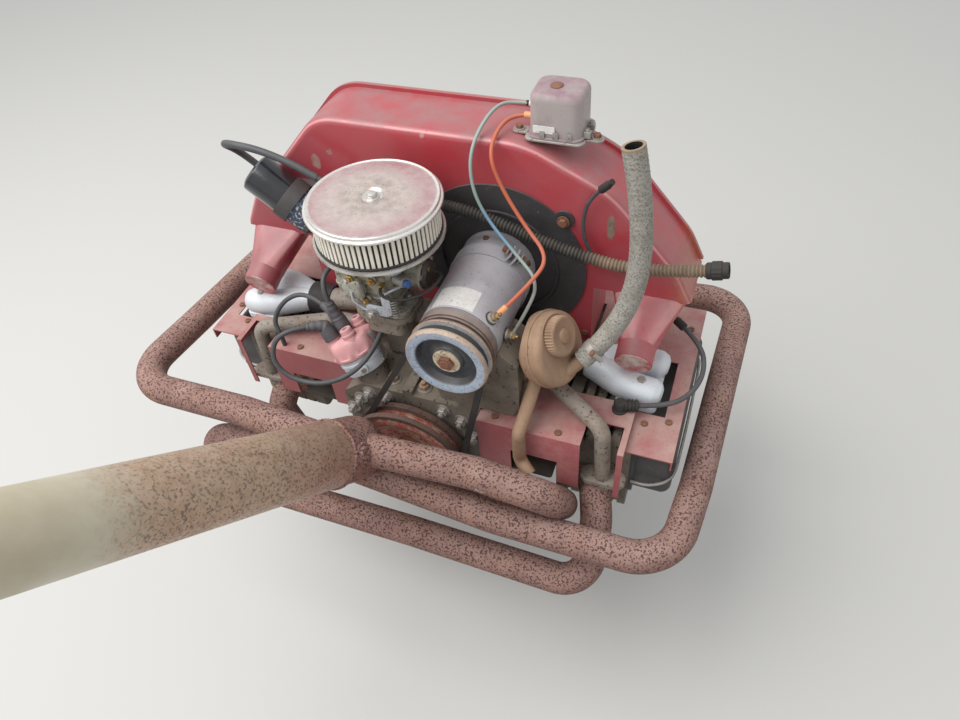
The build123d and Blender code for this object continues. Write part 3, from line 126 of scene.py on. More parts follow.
def node(tree: Tree, kind: str, inputs: dict | None = None, output: int | str = 0, **settings: object) -> Socket | None:
    """Add one shader node with its settings, values and links.

    Args:
        tree: the material's or world's node tree.
        kind: the node's type without its prefix, such as Mix.
        inputs: input name or index to a value, or to the socket that feeds it.
        output: the index or name of the wanted output.
        settings: attributes of the node itself.

    Returns:
        That output's socket, or None for a node without outputs.
    """
    made = tree.nodes.new("ShaderNode" + kind)
    for name, value in settings.items():
        setattr(made, name, value)
    for key, value in (inputs or {}).items():
        socket = made.inputs[key]
        if isinstance(value, Socket):
            tree.links.new(value, socket)
        else:
            socket.default_value = value
    return made.outputs[output] if len(made.outputs) else None


# Noise values where a patch of each kind starts and where it is full
MOTTLE_CUT, SPECK_CUT, ZONE_CUT = (0.62, 0.86), (0.70, 0.79), (0.4, 0.65)
CLOUD_CUT, GRAIN_CUT, SHINE_CUT = (0.3, 0.65), (0.2, 0.8), (0.3, 0.7)
# Sizes in millimetres: the patches in a zone, the bays of its ragged edge, and the clouds in the dust
ZONE_PATCH_MM, BAY_MM, CLOUD_MM = 6.0, 5.0, 18.0
# Dust: its share that lies everywhere, how much it roughens, and how much of it hides metal
FILM, DULLING, HIDING = 0.18, 0.35, 0.8
# How much a speck covers, and how few layers break up its outline
SPECK_COVER, SPECK_DETAIL = 0.85, 1.5
# The normal's Y in the middle of a rounded edge, and how far from it the painted highlight along that edge is full and
# gone
EDGE_Y, HIGHLIGHT_FULL, HIGHLIGHT_GONE = -0.72, 0.07, 0.17


def blobs(tree: Tree, place: Socket, size_mm: float, low: float, high: float, bottom: float = 0.0, top: float = 1.0,
          detail: float = 5.0) -> Socket:
    """Cloudy blobs of a real size: fractal noise with half a period per blob, cut off below low and above high.

    Args:
        tree: the node tree.
        place: the place in millimetres.
        size_mm: how wide one blob is.
        low, high: the noise values where a blob starts and where it is full.
        bottom, top: the values outside and inside a blob.
        detail: how many finer layers break up a blob's outline.

    Returns:
        The socket with a value between bottom and top.
    """
    inputs = {"Vector": place, "Scale": 0.5 / size_mm, "Detail": detail, "Roughness": 0.62}
    cloud = node(tree, "TexNoise", inputs)
    return node(tree, "MapRange", {0: cloud, 1: low, 2: high, 3: bottom, 4: top})


@dataclass(frozen=True)
class Zone:
    """A second tone within a distance of an axis, or between two places along it, in millimetres.

    The tone starts at one distance and is full at the next, then fades and is gone again. The stretch scales X, Y
    and Z before measuring, which makes a round zone oval. Speck says how many of the finish's specks lie in it.
    """

    measure: Measure
    origin: Vec
    axis: Vec
    start: float
    full: float
    tone: str
    mottle_tone: str
    fade: float = 9000.0
    gone: float = 9001.0
    ragged: float = 0.0
    strength: float = 1.0
    stretch: Vec = (1.0, 1.0, 1.0)
    speck: float = 0.0

    def mask(self, tree: Tree, place: Socket) -> Socket:
        """How much of the zone lies on a place.

        The distance is the length of the cross product of place and axis when around, and their dot product
        when along, pushed to and fro by noise where the edge is ragged. The result is the rise times the fall.

        Args:
            tree: the node tree.
            place: the place in millimetres.

        Returns:
            The socket with a share from 0 to the zone's strength.
        """
        away = node(tree, "VectorMath", {0: place, 1: self.origin}, operation="SUBTRACT")
        away = node(tree, "VectorMath", {0: away, 1: self.stretch}, operation="MULTIPLY")
        line = unit(self.axis).tolist()
        if self.measure is Measure.AROUND:
            across = node(tree, "VectorMath", {0: away, 1: line}, operation="CROSS_PRODUCT")
            far = node(tree, "VectorMath", {0: across}, "Value", operation="LENGTH")
        else:
            far = node(tree, "VectorMath", {0: away, 1: line}, "Value", operation="DOT_PRODUCT")
        if self.ragged:
            push = blobs(tree, place, BAY_MM, *GRAIN_CUT, -self.ragged, self.ragged)
            far = node(tree, "Math", {0: far, 1: push}, operation="ADD")
        rise = node(tree, "MapRange", {0: far, 1: self.start, 2: self.full, 3: 0.0, 4: self.strength})
        fall = node(tree, "MapRange", {0: far, 1: self.fade, 2: self.gone, 3: 1.0, 4: 0.0})
        return node(tree, "Math", {0: rise, 1: fall}, operation="MULTIPLY")


@dataclass(frozen=True)
class Finish:
    """A weathered surface: a base tone with mottling, dust on what faces up, specks, zones, fine relief and a painted
    highlight.

    Lengths are real millimetres on the object. Colours are sRGB hex codes.
    """

    name: str
    slot: str
    tone: str
    mottle_tone: str
    mottle_mm: float = 30.0
    mottle_share: float = 0.5
    dust_tone: str = "#a39284"
    dust: float = 0.3
    speck_tone: str = "#2c2420"
    speck_mm: float = 3.0
    speck: float = 0.0
    metallic: float = 0.0
    roughness: float = 0.6
    rough_spread: float = 0.12
    relief_mm: float = 0.0
    grain_mm: float = 2.0
    coat: float = 0.0
    # Colour of a painted highlight along a rounded edge that looks up, none if empty
    highlight_tone: str = ""
    zones: tuple[Zone, ...] = ()

    def specked(self, tree: Tree, place: Socket, tint: object, speck: float) -> Socket:
        """Strew specks over a tone: noise of the speck's size, cut off lower the more there are.

        Args:
            tree: the node tree.
            place: the place in millimetres.
            tint: the socket or colour below the specks.
            speck: how many there are, from 0 to 1.

        Returns:
            The socket with the specked colour.
        """
        cut = 0.22 * speck
        specks = blobs(tree, place, self.speck_mm, SPECK_CUT[0] - cut, SPECK_CUT[1] - cut, 0.0, SPECK_COVER,
                       SPECK_DETAIL)
        return node(tree, "Mix", {0: specks, 6: tint, 7: linear(self.speck_tone)}, 2, data_type="RGBA")

    def painted_highlight(self, tree: Tree) -> Socket:
        """How much of the painted highlight lies on a place: a paler line where the normal's Y is near the rounded
        edge's own, and it looks up.

        Args:
            tree: the node tree.

        Returns:
            The socket with a share from 0 to 0.75.
        """
        normal = node(tree, "NewGeometry", output="Normal")
        off = node(tree, "Math", {0: node(tree, "SeparateXYZ", {0: normal}, "Y"), 1: -EDGE_Y}, operation="ADD")
        off = node(tree, "Math", {0: off}, operation="ABSOLUTE")
        upward = node(tree, "MapRange", {0: node(tree, "SeparateXYZ", {0: normal}, "Z"), 1: 0.2, 2: 0.4})
        line = node(tree, "MapRange", {0: off, 1: HIGHLIGHT_GONE, 2: HIGHLIGHT_FULL, 3: 0.0, 4: 0.75})
        return node(tree, "Math", {0: line, 1: upward}, operation="MULTIPLY")

    def colour(self, tree: Tree, place: Socket) -> Socket:
        """The colour before dust: base tone, mottling, each zone over it, and the painted highlight along a rounded
        edge.

        Args:
            tree: the node tree.
            place: the place in millimetres.

        Returns:
            The socket with the colour.
        """
        share = 0.3 * self.mottle_share
        patches = blobs(tree, place, self.mottle_mm, MOTTLE_CUT[0] - share, MOTTLE_CUT[1] - share)
        tint = node(tree, "Mix", {0: patches, 6: linear(self.tone), 7: linear(self.mottle_tone)}, 2, data_type="RGBA")
        for zone in self.zones:
            patches = blobs(tree, place, ZONE_PATCH_MM, *ZONE_CUT)
            inner = node(tree, "Mix", {0: patches, 6: linear(zone.tone), 7: linear(zone.mottle_tone)}, 2,
                         data_type="RGBA")
            if zone.speck > 0:
                inner = self.specked(tree, place, inner, zone.speck)
            tint = node(tree, "Mix", {0: zone.mask(tree, place), 6: tint, 7: inner}, 2, data_type="RGBA")
        # Painted highlight: a paler line along a rounded edge that looks up
        if self.highlight_tone:
            tint = node(tree, "Mix", {0: self.painted_highlight(tree), 6: tint, 7: linear(self.highlight_tone)}, 2,
                        data_type="RGBA")
        return tint

    def dusting(self, tree: Tree, place: Socket) -> Socket:
        """How much dust lies on a place: a thin film all over and more on what looks up, broken by clouds.

        Args:
            tree: the node tree.
            place: the place in millimetres.

        Returns:
            The socket with the dust's share.
        """
        normal = node(tree, "NewGeometry", output="Normal")
        up = node(tree, "SeparateXYZ", {0: normal}, "Z")
        lying = node(tree, "MapRange", {0: up, 1: -0.2, 2: 0.95, 3: 0.0, 4: self.dust})
        cloud = blobs(tree, place, CLOUD_MM, *CLOUD_CUT, 0.25, 1.0)
        return node(tree, "Math", {0: lying, 1: cloud, 2: self.dust * FILM}, operation="MULTIPLY_ADD")

    def material(self) -> bpy.types.Material:
        """Build the material, or return the one already built under this name.

        Returns:
            The material.
        """
        if self.name in bpy.data.materials:
            return bpy.data.materials[self.name]
        made = bpy.data.materials.new(self.name)
        tree = bare_tree(made)
        place = node(tree, "VectorMath", {0: node(tree, "TexCoord", output="Object"), "Scale": 1 / MM},
                     operation="SCALE")
        dust = self.dusting(tree, place)
        tint = node(tree, "Mix", {0: dust, 6: self.colour(tree, place), 7: linear(self.dust_tone)}, 2,
                    data_type="RGBA")
        if self.speck > 0:
            tint = self.specked(tree, place, tint, self.speck)
        shine = blobs(tree, place, self.mottle_mm * 0.5, *SHINE_CUT, self.roughness - self.rough_spread,
                      self.roughness + self.rough_spread)
        dull = node(tree, "Math", {0: dust, 1: DULLING, 2: shine}, operation="MULTIPLY_ADD", use_clamp=True)
        inputs: dict[str, object] = {"Base Color": tint, "Roughness": dull}
        if self.metallic > 0:
            inputs["Metallic"] = node(tree, "MapRange", {0: dust, 1: 0.0, 2: HIDING, 3: self.metallic, 4: 0.0})
        if self.relief_mm > 0:
            height = blobs(tree, place, self.grain_mm, *GRAIN_CUT)
            inputs["Normal"] = node(tree, "Bump", {"Height": height, "Distance": self.relief_mm * MM,
                                                   "Strength": 0.8})
        if self.coat > 0:
            inputs.update({"Coat Weight": self.coat, "Coat Roughness": 0.2})
        node(tree, "OutputMaterial", {"Surface": node(tree, "BsdfPrincipled", inputs)})
        return made


def unit(direction: Vec) -> np.ndarray:
    """A direction brought to a length of one."""
    direction = np.asarray(direction, float)
    return direction / np.linalg.norm(direction)


# Places that several pieces share, in millimetres
CLEANER = (-26.0, -312.0, 383.0)
DYNAMO = (84.0, -391.0, 223.0)
COLLECTOR = (-50.0, -462.0, 72.0)
STINGER_START = (-58.0, -492.0, 97.2)
STINGER_AXIS = (-0.2011, -0.7507, 0.6293)

# The finishes, each named for the real material and how its surface was made

# Mild steel tube, rusted all over: matt brown-mauve with fine dark pits and a little orange bloom
RUSTED_TUBE = Finish(
    "rusted_steel_tube", "rusty_steel", "#76524a", "#875f4f", 24.0, 0.55, "#b2958a", 0.55, "#412b27", 1.5, 0.84,
    roughness=0.82, rough_spread=0.06, relief_mm=0.4, grain_mm=2.0,
    zones=(Zone(AROUND, COLLECTOR, STINGER_AXIS, 62.0, 44.0, "#70403a", "#824e3e", ragged=6.0, strength=0.85),))
# Pressed pulley sheet: dark brown rust, with red and tan remains of paint round the rim
RUSTED_PULLEY = Finish(
    "rusted_pulley_sheet", "rusty_steel", "#4a352f", "#5c4037", 14.0, 0.5, "#8c7263", 0.25, "#2a1c18", 2.2, 0.5,
    roughness=0.75, relief_mm=0.3,
    zones=(Zone(AROUND, (0, -391, 0), AHEAD, 80, 77, "#a8473a", "#b79c87", ragged=2.0),))
# Worn spots in the red enamel: X, Z, the radii where each starts and is full, two tones, raggedness, and its
# narrowness in Z
RED_SPOTS = (
    (232, 308, 5.5, 4.2, "#8b7a66", "#5f5247", 1.6, 0.28), (-6.9, 398, 4.5, 2.5, "#c08c84", "#7a5a54", 2.5, 1),
    (-24.3, 400, 3.0, 1.5, "#7a4a48", "#5f4a46", 1.5, 1), (-146, 356, 5.0, 3.0, "#b38a80", "#8a5f58", 3.0, 1),
    (-171, 338, 8.0, 5.0, "#b9948a", "#8f6a62", 4.5, 0.6))
# Thin red enamel on pressed steel: faded, mauve where dust lies, a painted highlight as a paler line where the edge
# is rounded, worn spots on the rear face, duller to the left, browner at the right end, and a tan line along the front
# seam
RED_ENAMEL = Finish(
    "faded_red_enamel", "red_paint", "#b32433", "#ad3c49", 70.0, 0.55, "#93706f", 0.7, "#7c4a48", 2.2, 0.06,
    roughness=0.34, rough_spread=0.1, relief_mm=0.04, grain_mm=3.0, coat=0.3, highlight_tone="#eea4a4",
    zones=(
        *(Zone(AROUND, (x, -205, z), AHEAD, start, full, tone, mottle_tone, ragged=ragged, stretch=(1, 1, tall))
          for x, z, start, full, tone, mottle_tone, ragged, tall in RED_SPOTS),
        Zone(ALONG, (-120, -205, 330), (-1, 0, 0.1), 30.0, 150.0, "#9c3a44", "#8a444a", ragged=22.0, strength=0.55),
        Zone(ALONG, (304, -205, 250), (1, 0, 0.12), 0.0, 22.0, "#a8552f", "#b0703c", ragged=9.0, strength=0.6),
        Zone(ALONG, (0, -117.6, 400), AHEAD, 0.0, 0.8, "#b7977c", "#a58268", 2.2, 3.0, ragged=0.7, strength=0.7)))
# The tinware's enamel, duller than the housing's under oil and tan dust, with a painted highlight: a paler pink patch
# over the middle of the right tin's crown
TIN_ENAMEL = Finish(
    "dusty_tinware_enamel", "red_paint", "#96303e", "#9d5056", 30.0, 0.6, "#b49c90", 0.66, "#6d4a44", 1.8, 0.12,
    roughness=0.5, relief_mm=0.06, grain_mm=2.2,
    # Painted highlight on the middle of the right tin's crown
    zones=(Zone(AROUND, (205, -350, 92), (0.2, 0, 1), 66.0, 24.0, "#b8545e", "#c27674", ragged=18.0, strength=0.8),))
# Sand-cast magnesium alloy, grey under baked dust and oil
CAST_ALLOY = Finish(
    "sandcast_case_alloy", "case_alloy", "#70675c", "#4d463e", 26.0, 0.55, "#9a8d7c", 0.5, "#2e2926", 3.4, 0.35,
    metallic=0.25, roughness=0.72, relief_mm=0.4, grain_mm=1.6)
# Grey iron, turned fins with a film of oil dust
FINNED_IRON = Finish(
    "turned_grey_iron", "cast_iron", "#4c4640", "#6a5a4a", 20.0, 0.5, "#8a7b68", 0.4, metallic=0.2, roughness=0.75,
    relief_mm=0.2)
# Sand-cast aluminium with silver paint: pale bluish grey, hardly shining
SILVER_CASTING = Finish(
    "silver_painted_casting", "aged_aluminium", "#d6dce1", "#c3c9cf", 40.0, 0.5, "#cdc8c2", 0.25, "#8a8885", 1.6, 0.1,
    metallic=0.25, roughness=0.48, relief_mm=0.12, grain_mm=1.2)
# Dynamo housing: drawn steel with a grey wash over dust, its end ring rusted brown
GREY_HOUSING = Finish(
    "grey_washed_steel", "dusty_steel", "#b0aeb4", "#97959b", 34.0, 0.5, "#c3bdb8", 0.35, "#6a645f", 2.0, 0.15,
    metallic=0.2, roughness=0.6, relief_mm=0.1, grain_mm=1.5,
    zones=(Zone(ALONG, (84, -360.5, 223), REARWARD, 0.0, 1.0, "#6f5143", "#54392e"),))
# Enamelled black sheet, greyed by dust
BLACK_ENAMEL = Finish(
    "dusty_black_enamel", "dark_paint", "#2b2a2d", "#3c3a3d", 28.0, 0.5, "#7d7572", 0.4, "#5b5650", 2.2, 0.2,
    roughness=0.48, relief_mm=0.06)
# Decorative chrome on pressed steel: bright steps at the rim, a band of mauve dust, a beige and freckled middle,
# and a bright ring round the bolt
CHROME_LID = Finish(
    "dusty_chrome_lid", "chrome", "#e2e0dc", "#cfcbc6", 16.0, 0.4, "#cdbdb2", 0.12, "#8a7f7a", 1.3, 0.1, metallic=0.75,
    roughness=0.24, rough_spread=0.08,
    zones=(
        Zone(AROUND, CLEANER, UP, 76.0, 73.8, "#be979c", "#cbb0b0", ragged=1.4, strength=0.94),
        Zone(AROUND, (-30, -318, 383), UP, 66.0, 50.0, "#dacdc6", "#c4b4b2", ragged=8.0, strength=0.85),
        Zone(AROUND, CLEANER, UP, 46.0, 26.0, "#cdc2b9", "#aca09c", ragged=8.0, strength=0.7, speck=0.5),
        Zone(AROUND, CLEANER, UP, 13.0, 11.0, "#dedcd8", "#c9c6c1")))
# Bright plated sheet under a veil of dust
DUSTY_CHROME = Finish(
    "dusty_chrome_plate", "chrome", "#c9c7c4", "#b5b0aa", 18.0, 0.4, "#b5a99e", 0.3, "#7c746d", 1.8, 0.2, metallic=0.85,
    roughness=0.25, rough_spread=0.08)
# Old zinc plating on small steel parts, stained by brown dust
OLD_ZINC = Finish(
    "old_zinc_plate", "bare_steel", "#a9a6a2", "#8f8880", 10.0, 0.5, "#a89b8e", 0.35, "#5e4a3c", 1.6, 0.3,
    metallic=0.65, roughness=0.42, relief_mm=0.05)
# Fresh bluish zinc plating of the choke and throttle parts
BLUE_ZINC = Finish(
    "blue_zinc_plate", "bare_steel", "#c9d3dc", "#a3adb8", 6.0, 0.5, "#b0a79e", 0.18, "#5f5a56", 1.4, 0.2, metallic=0.6,
    roughness=0.32)
# Iridescent chromate over zinc die casting: olive, straw and brown
OLIVE_CHROMATE = Finish(
    "olive_chromate_casting", "carb_zinc", "#8d8878", "#b4b3a8", 9.0, 0.6, "#a0968a", 0.25, "#39342e", 2.4, 0.45,
    metallic=0.4, roughness=0.48, relief_mm=0.12, grain_mm=1.2)
# Turned brass plugs, browned
OLD_BRASS = Finish("browned_brass", "carb_zinc", "#a98a4c", "#86683a", 5.0, 0.5, dust=0.2, metallic=0.8, roughness=0.35)
# Folded filter paper: cream crests, and painted shade in the valleys between the pleats
FILTER_PAPER = Finish(
    "pleated_filter_paper", "filter_paper", "#e2dccf", "#d0c6b4", 9.0, 0.5, "#b3a592", 0.12, roughness=0.9,
    rough_spread=0.04,
    # Painted shade: dark inside the crests' circle, in the valleys between the pleats
    zones=(Zone(AROUND, CLEANER, UP, 75.7, 74.3, "#463e37", "#2f2a26"),))
# Moulded thermoset cap, chalked to salmon pink
SALMON_MOULDING = Finish(
    "chalked_salmon_moulding", "pink_plastic", "#c98688", "#b87678", 12.0, 0.5, "#dcc0ba", 0.4, "#84504e", 1.6, 0.12,
    roughness=0.6, relief_mm=0.05)
# Phenolic moulding, dark brown and slightly glossy
BROWN_MOULDING = Finish(
    "brown_phenolic_moulding", "coil_black", "#2c2321", "#3b2d28", 10.0, 0.5, "#7d7067", 0.25, roughness=0.35)
# Coil can: dipped black enamel, still glossy
COIL_ENAMEL = Finish(
    "glossy_black_enamel", "coil_black", "#14151b", "#232733", 22.0, 0.5, "#5e5d62", 0.14, roughness=0.2,
    rough_spread=0.05, coat=0.5)
# A printed wrapper worn to blue-white flecks over black
WORN_LABEL = Finish(
    "worn_blue_wrapper", "coil_black", "#262c3a", "#3c4558", 7.0, 0.6, "#8c8f98", 0.12, "#aeb9ca", 1.9, 0.72,
    roughness=0.42)
# Deep-drawn regulator can: tinned steel, bare and pale at the sides, thick mauve dust on its crown
TINNED_STEEL = Finish(
    "drawn_tinned_steel", "dusty_steel", "#b9b3ad", "#a29a94", 15.0, 0.5, "#8c7078", 0.95, "#857c74", 1.5, 0.15,
    metallic=0.3, roughness=0.42, relief_mm=0.05)
# Steel sheet under a baked coat of brown and tan dust
TAN_DUST = Finish(
    "dust_coated_steel", "tan_paint", "#8e6d54", "#745842", 22.0, 0.55, "#b89c82", 0.5, "#5f4736", 1.6, 0.16,
    roughness=0.62, relief_mm=0.12, grain_mm=1.4)
# Steel pipe with heat stains, grey to brown
STAINED_PIPE = Finish(
    "heat_stained_pipe", "dusty_steel", "#8d857b", "#76624f", 16.0, 0.55, "#a3958a", 0.4, "#4f3c31", 2.0, 0.45,
    metallic=0.2, roughness=0.65, relief_mm=0.12)
# Vulcanised rubber, black gone grey
BLACK_RUBBER = Finish(
    "aged_black_rubber", "rubber", "#1b1a1a", "#2b2928", 12.0, 0.5, "#6e665d", 0.22, roughness=0.7, rough_spread=0.08)
# Hose and lead rubber with a grey bloom
GREY_RUBBER = Finish(
    "greyed_hose_rubber", "grey_rubber", "#3a3d43", "#4a4c50", 12.0, 0.5, "#8c8172", 0.16, roughness=0.52,
    rough_spread=0.08, relief_mm=0.05)
# Moulded rubber of the lead boots: slate grey, dusty on top
BOOT_RUBBER = Finish(
    "moulded_boot_rubber", "grey_rubber", "#3c3d44", "#4f4d50", 8.0, 0.5, "#8f8480", 0.25, roughness=0.55)
# Textile braid over a rubber hose: warm grey and rough, with darker threads as specks, drawn coarser than real
HOSE_BRAID = Finish(
    "braid_covered_hose", "grey_rubber", "#96928a", "#7d7a72", 7.0, 0.5, "#a99e8e", 0.3, "#6b675f", 1.1, 0.8,
    roughness=0.85, relief_mm=0.4, grain_mm=1.2)
# Bare rubber at the hose's cut mouth, tan with dust, and its black bore
HOSE_LIP = Finish("dusty_cut_rubber", "grey_rubber", "#8f7a60", "#7a6750", 4.0, 0.5, dust=0.2, roughness=0.8)
HOSE_BORE = Finish("black_hose_bore", "rubber", "#0b0b0b", "#121110", 8.0, 0.5, dust=0.0, roughness=0.9)
# Split conduit of black plastic, tan with road dust at the open end
DUSTY_CONDUIT = Finish(
    "dusty_split_conduit", "rubber", "#242322", "#35322f", 9.0, 0.5, "#7b7166", 0.25, roughness=0.62,
    zones=(Zone(ALONG, (205, -233, 278), RIGHTWARD, 0.0, 26.0, "#8d7761", "#75614e", ragged=6.0, strength=0.85),))
# Extruded vinyl wire sheaths: faded orange with its crimp sleeve, and grey-green with a blue and a bare stretch
ORANGE_SHEATH = Finish(
    "orange_vinyl_sheath", "orange_wire", "#bd5a3c", "#b3604c", 16.0, 0.5, "#b5826c", 0.3, roughness=0.5)
PALE_SLEEVE = Finish(
    "pale_orange_crimp_sleeve", "orange_wire", "#dd9c68", "#cf8c5c", 6.0, 0.4, dust=0.15, roughness=0.45)
GREEN_SHEATH = Finish(
    "grey_green_vinyl_sheath", "green_wire", "#869c94", "#93a49c", 30.0, 0.5, "#b0b2a6", 0.25, roughness=0.5,
    zones=(
        Zone(ALONG, (100, -250, 340), (0, 0, -1), 0.0, 16.0, "#4f86ad", "#5a8cae", 40.0, 54.0, strength=0.85),
        Zone(ALONG, (100, -250, 284), (0, 0, -1), 0.0, 10.0, "#84867e", "#74766f")))
# Rolled tail pipe steel: satin, tanned by heat, freckled with rust that grows thicker towards the collector
TANNED_STEEL = Finish(
    "heat_tanned_steel", "stinger_steel", "#bdb5a1", "#afa389", 60.0, 0.5, "#cbc2ab", 0.3, "#4f362d", 1.7,
    metallic=0.25, roughness=0.4, relief_mm=0.05, grain_mm=1.6,
    zones=(
        Zone(ALONG, STINGER_START, STINGER_AXIS, 345.0, 285.0, "#b3927a", "#9f7c64", ragged=22.0, strength=0.97,
            speck=0.78),
        Zone(ALONG, STINGER_START, STINGER_AXIS, 130.0, 50.0, "#9c7060", "#8a5e50", ragged=24.0, strength=0.75,
            speck=0.8)))
# Pressed pulley halves: blue-grey rim, dark hollow with a freckled middle, beige dust on the very edge
PULLEY_FACE = Finish(
    "worn_pulley_sheet", "bare_steel", "#a3b0c0", "#818b9a", 9.0, 0.5, "#b0a69c", 0.2, "#4c5058", 1.1, 0.45,
    metallic=0.25, roughness=0.5,
    zones=(
        Zone(AROUND, DYNAMO, AHEAD, 40.5, 38.5, "#171b23", "#262e3b"),
        Zone(AROUND, DYNAMO, AHEAD, 26.0, 21.0, "#4a4a4c", "#2a2c31", speck=0.5),
        Zone(AROUND, DYNAMO, AHEAD, 49.6, 50.6, "#b5a08e", "#a08b7c")))
# Thick washer under the pulley nut, tan with dark flecks
SPECKLED_WASHER = Finish(
    "tan_flecked_washer", "bare_steel", "#c2b39a", "#a08c72", 5.0, 0.5, dust=0.1, speck_tone="#4a3a2e", speck_mm=1.2,
    speck=0.5, roughness=0.6)
# Steel fasteners, rusted brown
RUSTY_FASTENER = Finish(
    "rusted_fastener_steel", "rusty_steel", "#7a4a34", "#5b382b", 5.0, 0.5, "#97816f", 0.3, "#33221c", 1.2, 0.4,
    roughness=0.8, relief_mm=0.1, grain_mm=0.9)
# A blank paper label, yellowed and fouled
PALE_LABEL = Finish(
    "fouled_paper_label", "dusty_steel", "#dedcd8", "#c9c6c2", 7.0, 0.4, "#c4b8ac", 0.2, "#8f8a82", 1.6, 0.35,
    roughness=0.7)
# Injection-moulded blue fitting
BLUE_PLASTIC = Finish("blue_moulded_plastic", "green_wire", "#2f63a8", "#3f6fa6", 8.0, 0.4, dust=0.2, roughness=0.4)
# Pressed steel plugs, pale where the red paint is gone
HALF_BARE = Finish(
    "half_bare_sheet", "aged_aluminium", "#cfc5b8", "#ad3a48", 15.0, 0.85, "#b9a79d", 0.2, "#7d6e66", 1.8, 0.15,
    metallic=0.15, roughness=0.45)
# Deflector sheet below the tins, black with oil
OILY_SHEET = Finish(
    "oily_deflector_sheet", "dark_paint", "#2a2622", "#3a332c", 16.0, 0.5, "#6b5f52", 0.25, roughness=0.55)

# CAD node name prefixes and the finish of each, the first match counts
NODE_FINISHES: tuple[tuple[str, Finish], ...] = (
    ("header_", RUSTED_TUBE), ("crank_pulley", RUSTED_PULLEY), ("crankshaft", RUSTY_FASTENER),
    ("stinger", TANNED_STEEL), ("fan_shroud", RED_ENAMEL), ("cylinder_tin", TIN_ENAMEL), ("crankcase", CAST_ALLOY),
    ("head_", CAST_ALLOY), ("sump_plate", CAST_ALLOY), ("dynamo_stand", CAST_ALLOY), ("cylinders", FINNED_IRON),
    ("intake_casting", SILVER_CASTING), ("intake_manifold", STAINED_PIPE), ("heat_risers", STAINED_PIPE),
    ("dynamo_body", GREY_HOUSING), ("rocker_cover", BLACK_ENAMEL), ("fan_backing_plate", BLACK_ENAMEL),
    ("clutch_cover", BLACK_ENAMEL), ("coil_clamp", BLACK_ENAMEL), ("dynamo_strap", GREY_HOUSING),
    ("air_cleaner_element", FILTER_PAPER), ("air_cleaner", DUSTY_CHROME),
    ("oil_filler", TAN_DUST), ("v_belt", BLACK_RUBBER), ("intake_boots", BLACK_RUBBER), ("", OLD_ZINC),
)


# Shapes


def square_to(axis: Vec, near: Vec = UP) -> tuple[np.ndarray, np.ndarray]:
    """Two directions square to an axis.

    Args:
        axis: the axis.
        near: the direction that the second one comes as near to as it can.

    Returns:
        The side, which is near crossed with the axis, and the axis crossed with that side.
    """
    axis = unit(axis)
    if abs(float(axis @ unit(near))) > 0.99:
        near = AHEAD if abs(axis[1]) < 0.9 else RIGHTWARD
    side = unit(np.cross(near, axis))
    return side, np.cross(axis, side)


def round_angles(count: int) -> np.ndarray:
    """Angles evenly round a full turn."""
    return np.linspace(0.0, FULL_TURN, count, endpoint=False)


def band(low: float, high: float, inner: float, outer: float) -> Profile:
    """A flat ring's section for a lathe: out at its low end, along, and in at its high end."""
    return ((low, inner), (low, outer), (high, outer), (high, inner))


def broken_rows(thickness: float, edge: float, half: float) -> list[tuple[float, float]]:
    """Heights and scales that carry an outline of a given half width through a thickness, with both edges broken."""
    slim = 1 - edge / half
    return [(0.0, slim), (edge, 1.0), (thickness - edge, 1.0), (thickness, slim)]


def rounded_outline(width: float, height: float, radius: float, steps: int = 4) -> np.ndarray:
    """A rectangle with round corners: four quarter circles about the corners' middles, in order.

    Args:
        width, height: its outer size.
        radius: the corners' radius.
        steps: how many sides a quarter circle has.

    Returns:
        Points of two coordinates, anticlockwise.
    """
    quarter = np.linspace(0.0, math.pi / 2, steps + 1)
    turn = (np.arange(4)[:, None] * math.pi / 2 + quarter).ravel()
    corner = np.repeat(np.array([(1, 1), (-1, 1), (-1, -1), (1, -1)]), steps + 1, axis=0)
    middle = corner * (np.array((width, height)) / 2 - radius)
    return middle + radius * np.c_[np.cos(turn), np.sin(turn)]


def smooth_path(points: Sequence[Vec], rounds: int) -> np.ndarray:
    """Round a bent line by cutting corners: each round puts points a quarter and three quarters along each side.

    Args:
        points: the corner points.
        rounds: how often the corners are cut.

    Returns:
        The smooth line's points, with both ends kept.
    """
    path = np.asarray(points, float)
    for _ in range(rounds):
        early = 0.75 * path[:-1] + 0.25 * path[1:]
        late = 0.25 * path[:-1] + 0.75 * path[1:]
        path = np.vstack([path[:1], np.stack([early, late], 1).reshape(-1, 3), path[-1:]])
    return path


def tube_rings(path: np.ndarray, radii: np.ndarray | float, sides: int) -> np.ndarray:
    """Circles square to a path.

    Each circle's first direction is its tangent crossed with the one direction that is most nearly square to the
    whole path, so that the tube has no twist.

    Args:
        path: the line's points.
        radii: one radius, or one for each point.
        sides: how many points a circle has.

    Returns:
        Rings of points, one ring for each point of the path.
    """
    tangents = np.gradient(path, axis=0)
    tangents /= np.linalg.norm(tangents, axis=1)[:, None]
    level = np.linalg.svd(tangents)[2][-1]
    side = np.cross(tangents, level)
    side /= np.linalg.norm(side, axis=1)[:, None]
    other = np.cross(tangents, side)
    turn = round_angles(sides)[None, :, None]
    reach = np.broadcast_to(radii, len(path))[:, None, None]
    return path[:, None] + reach * (np.cos(turn) * side[:, None] + np.sin(turn) * other[:, None])


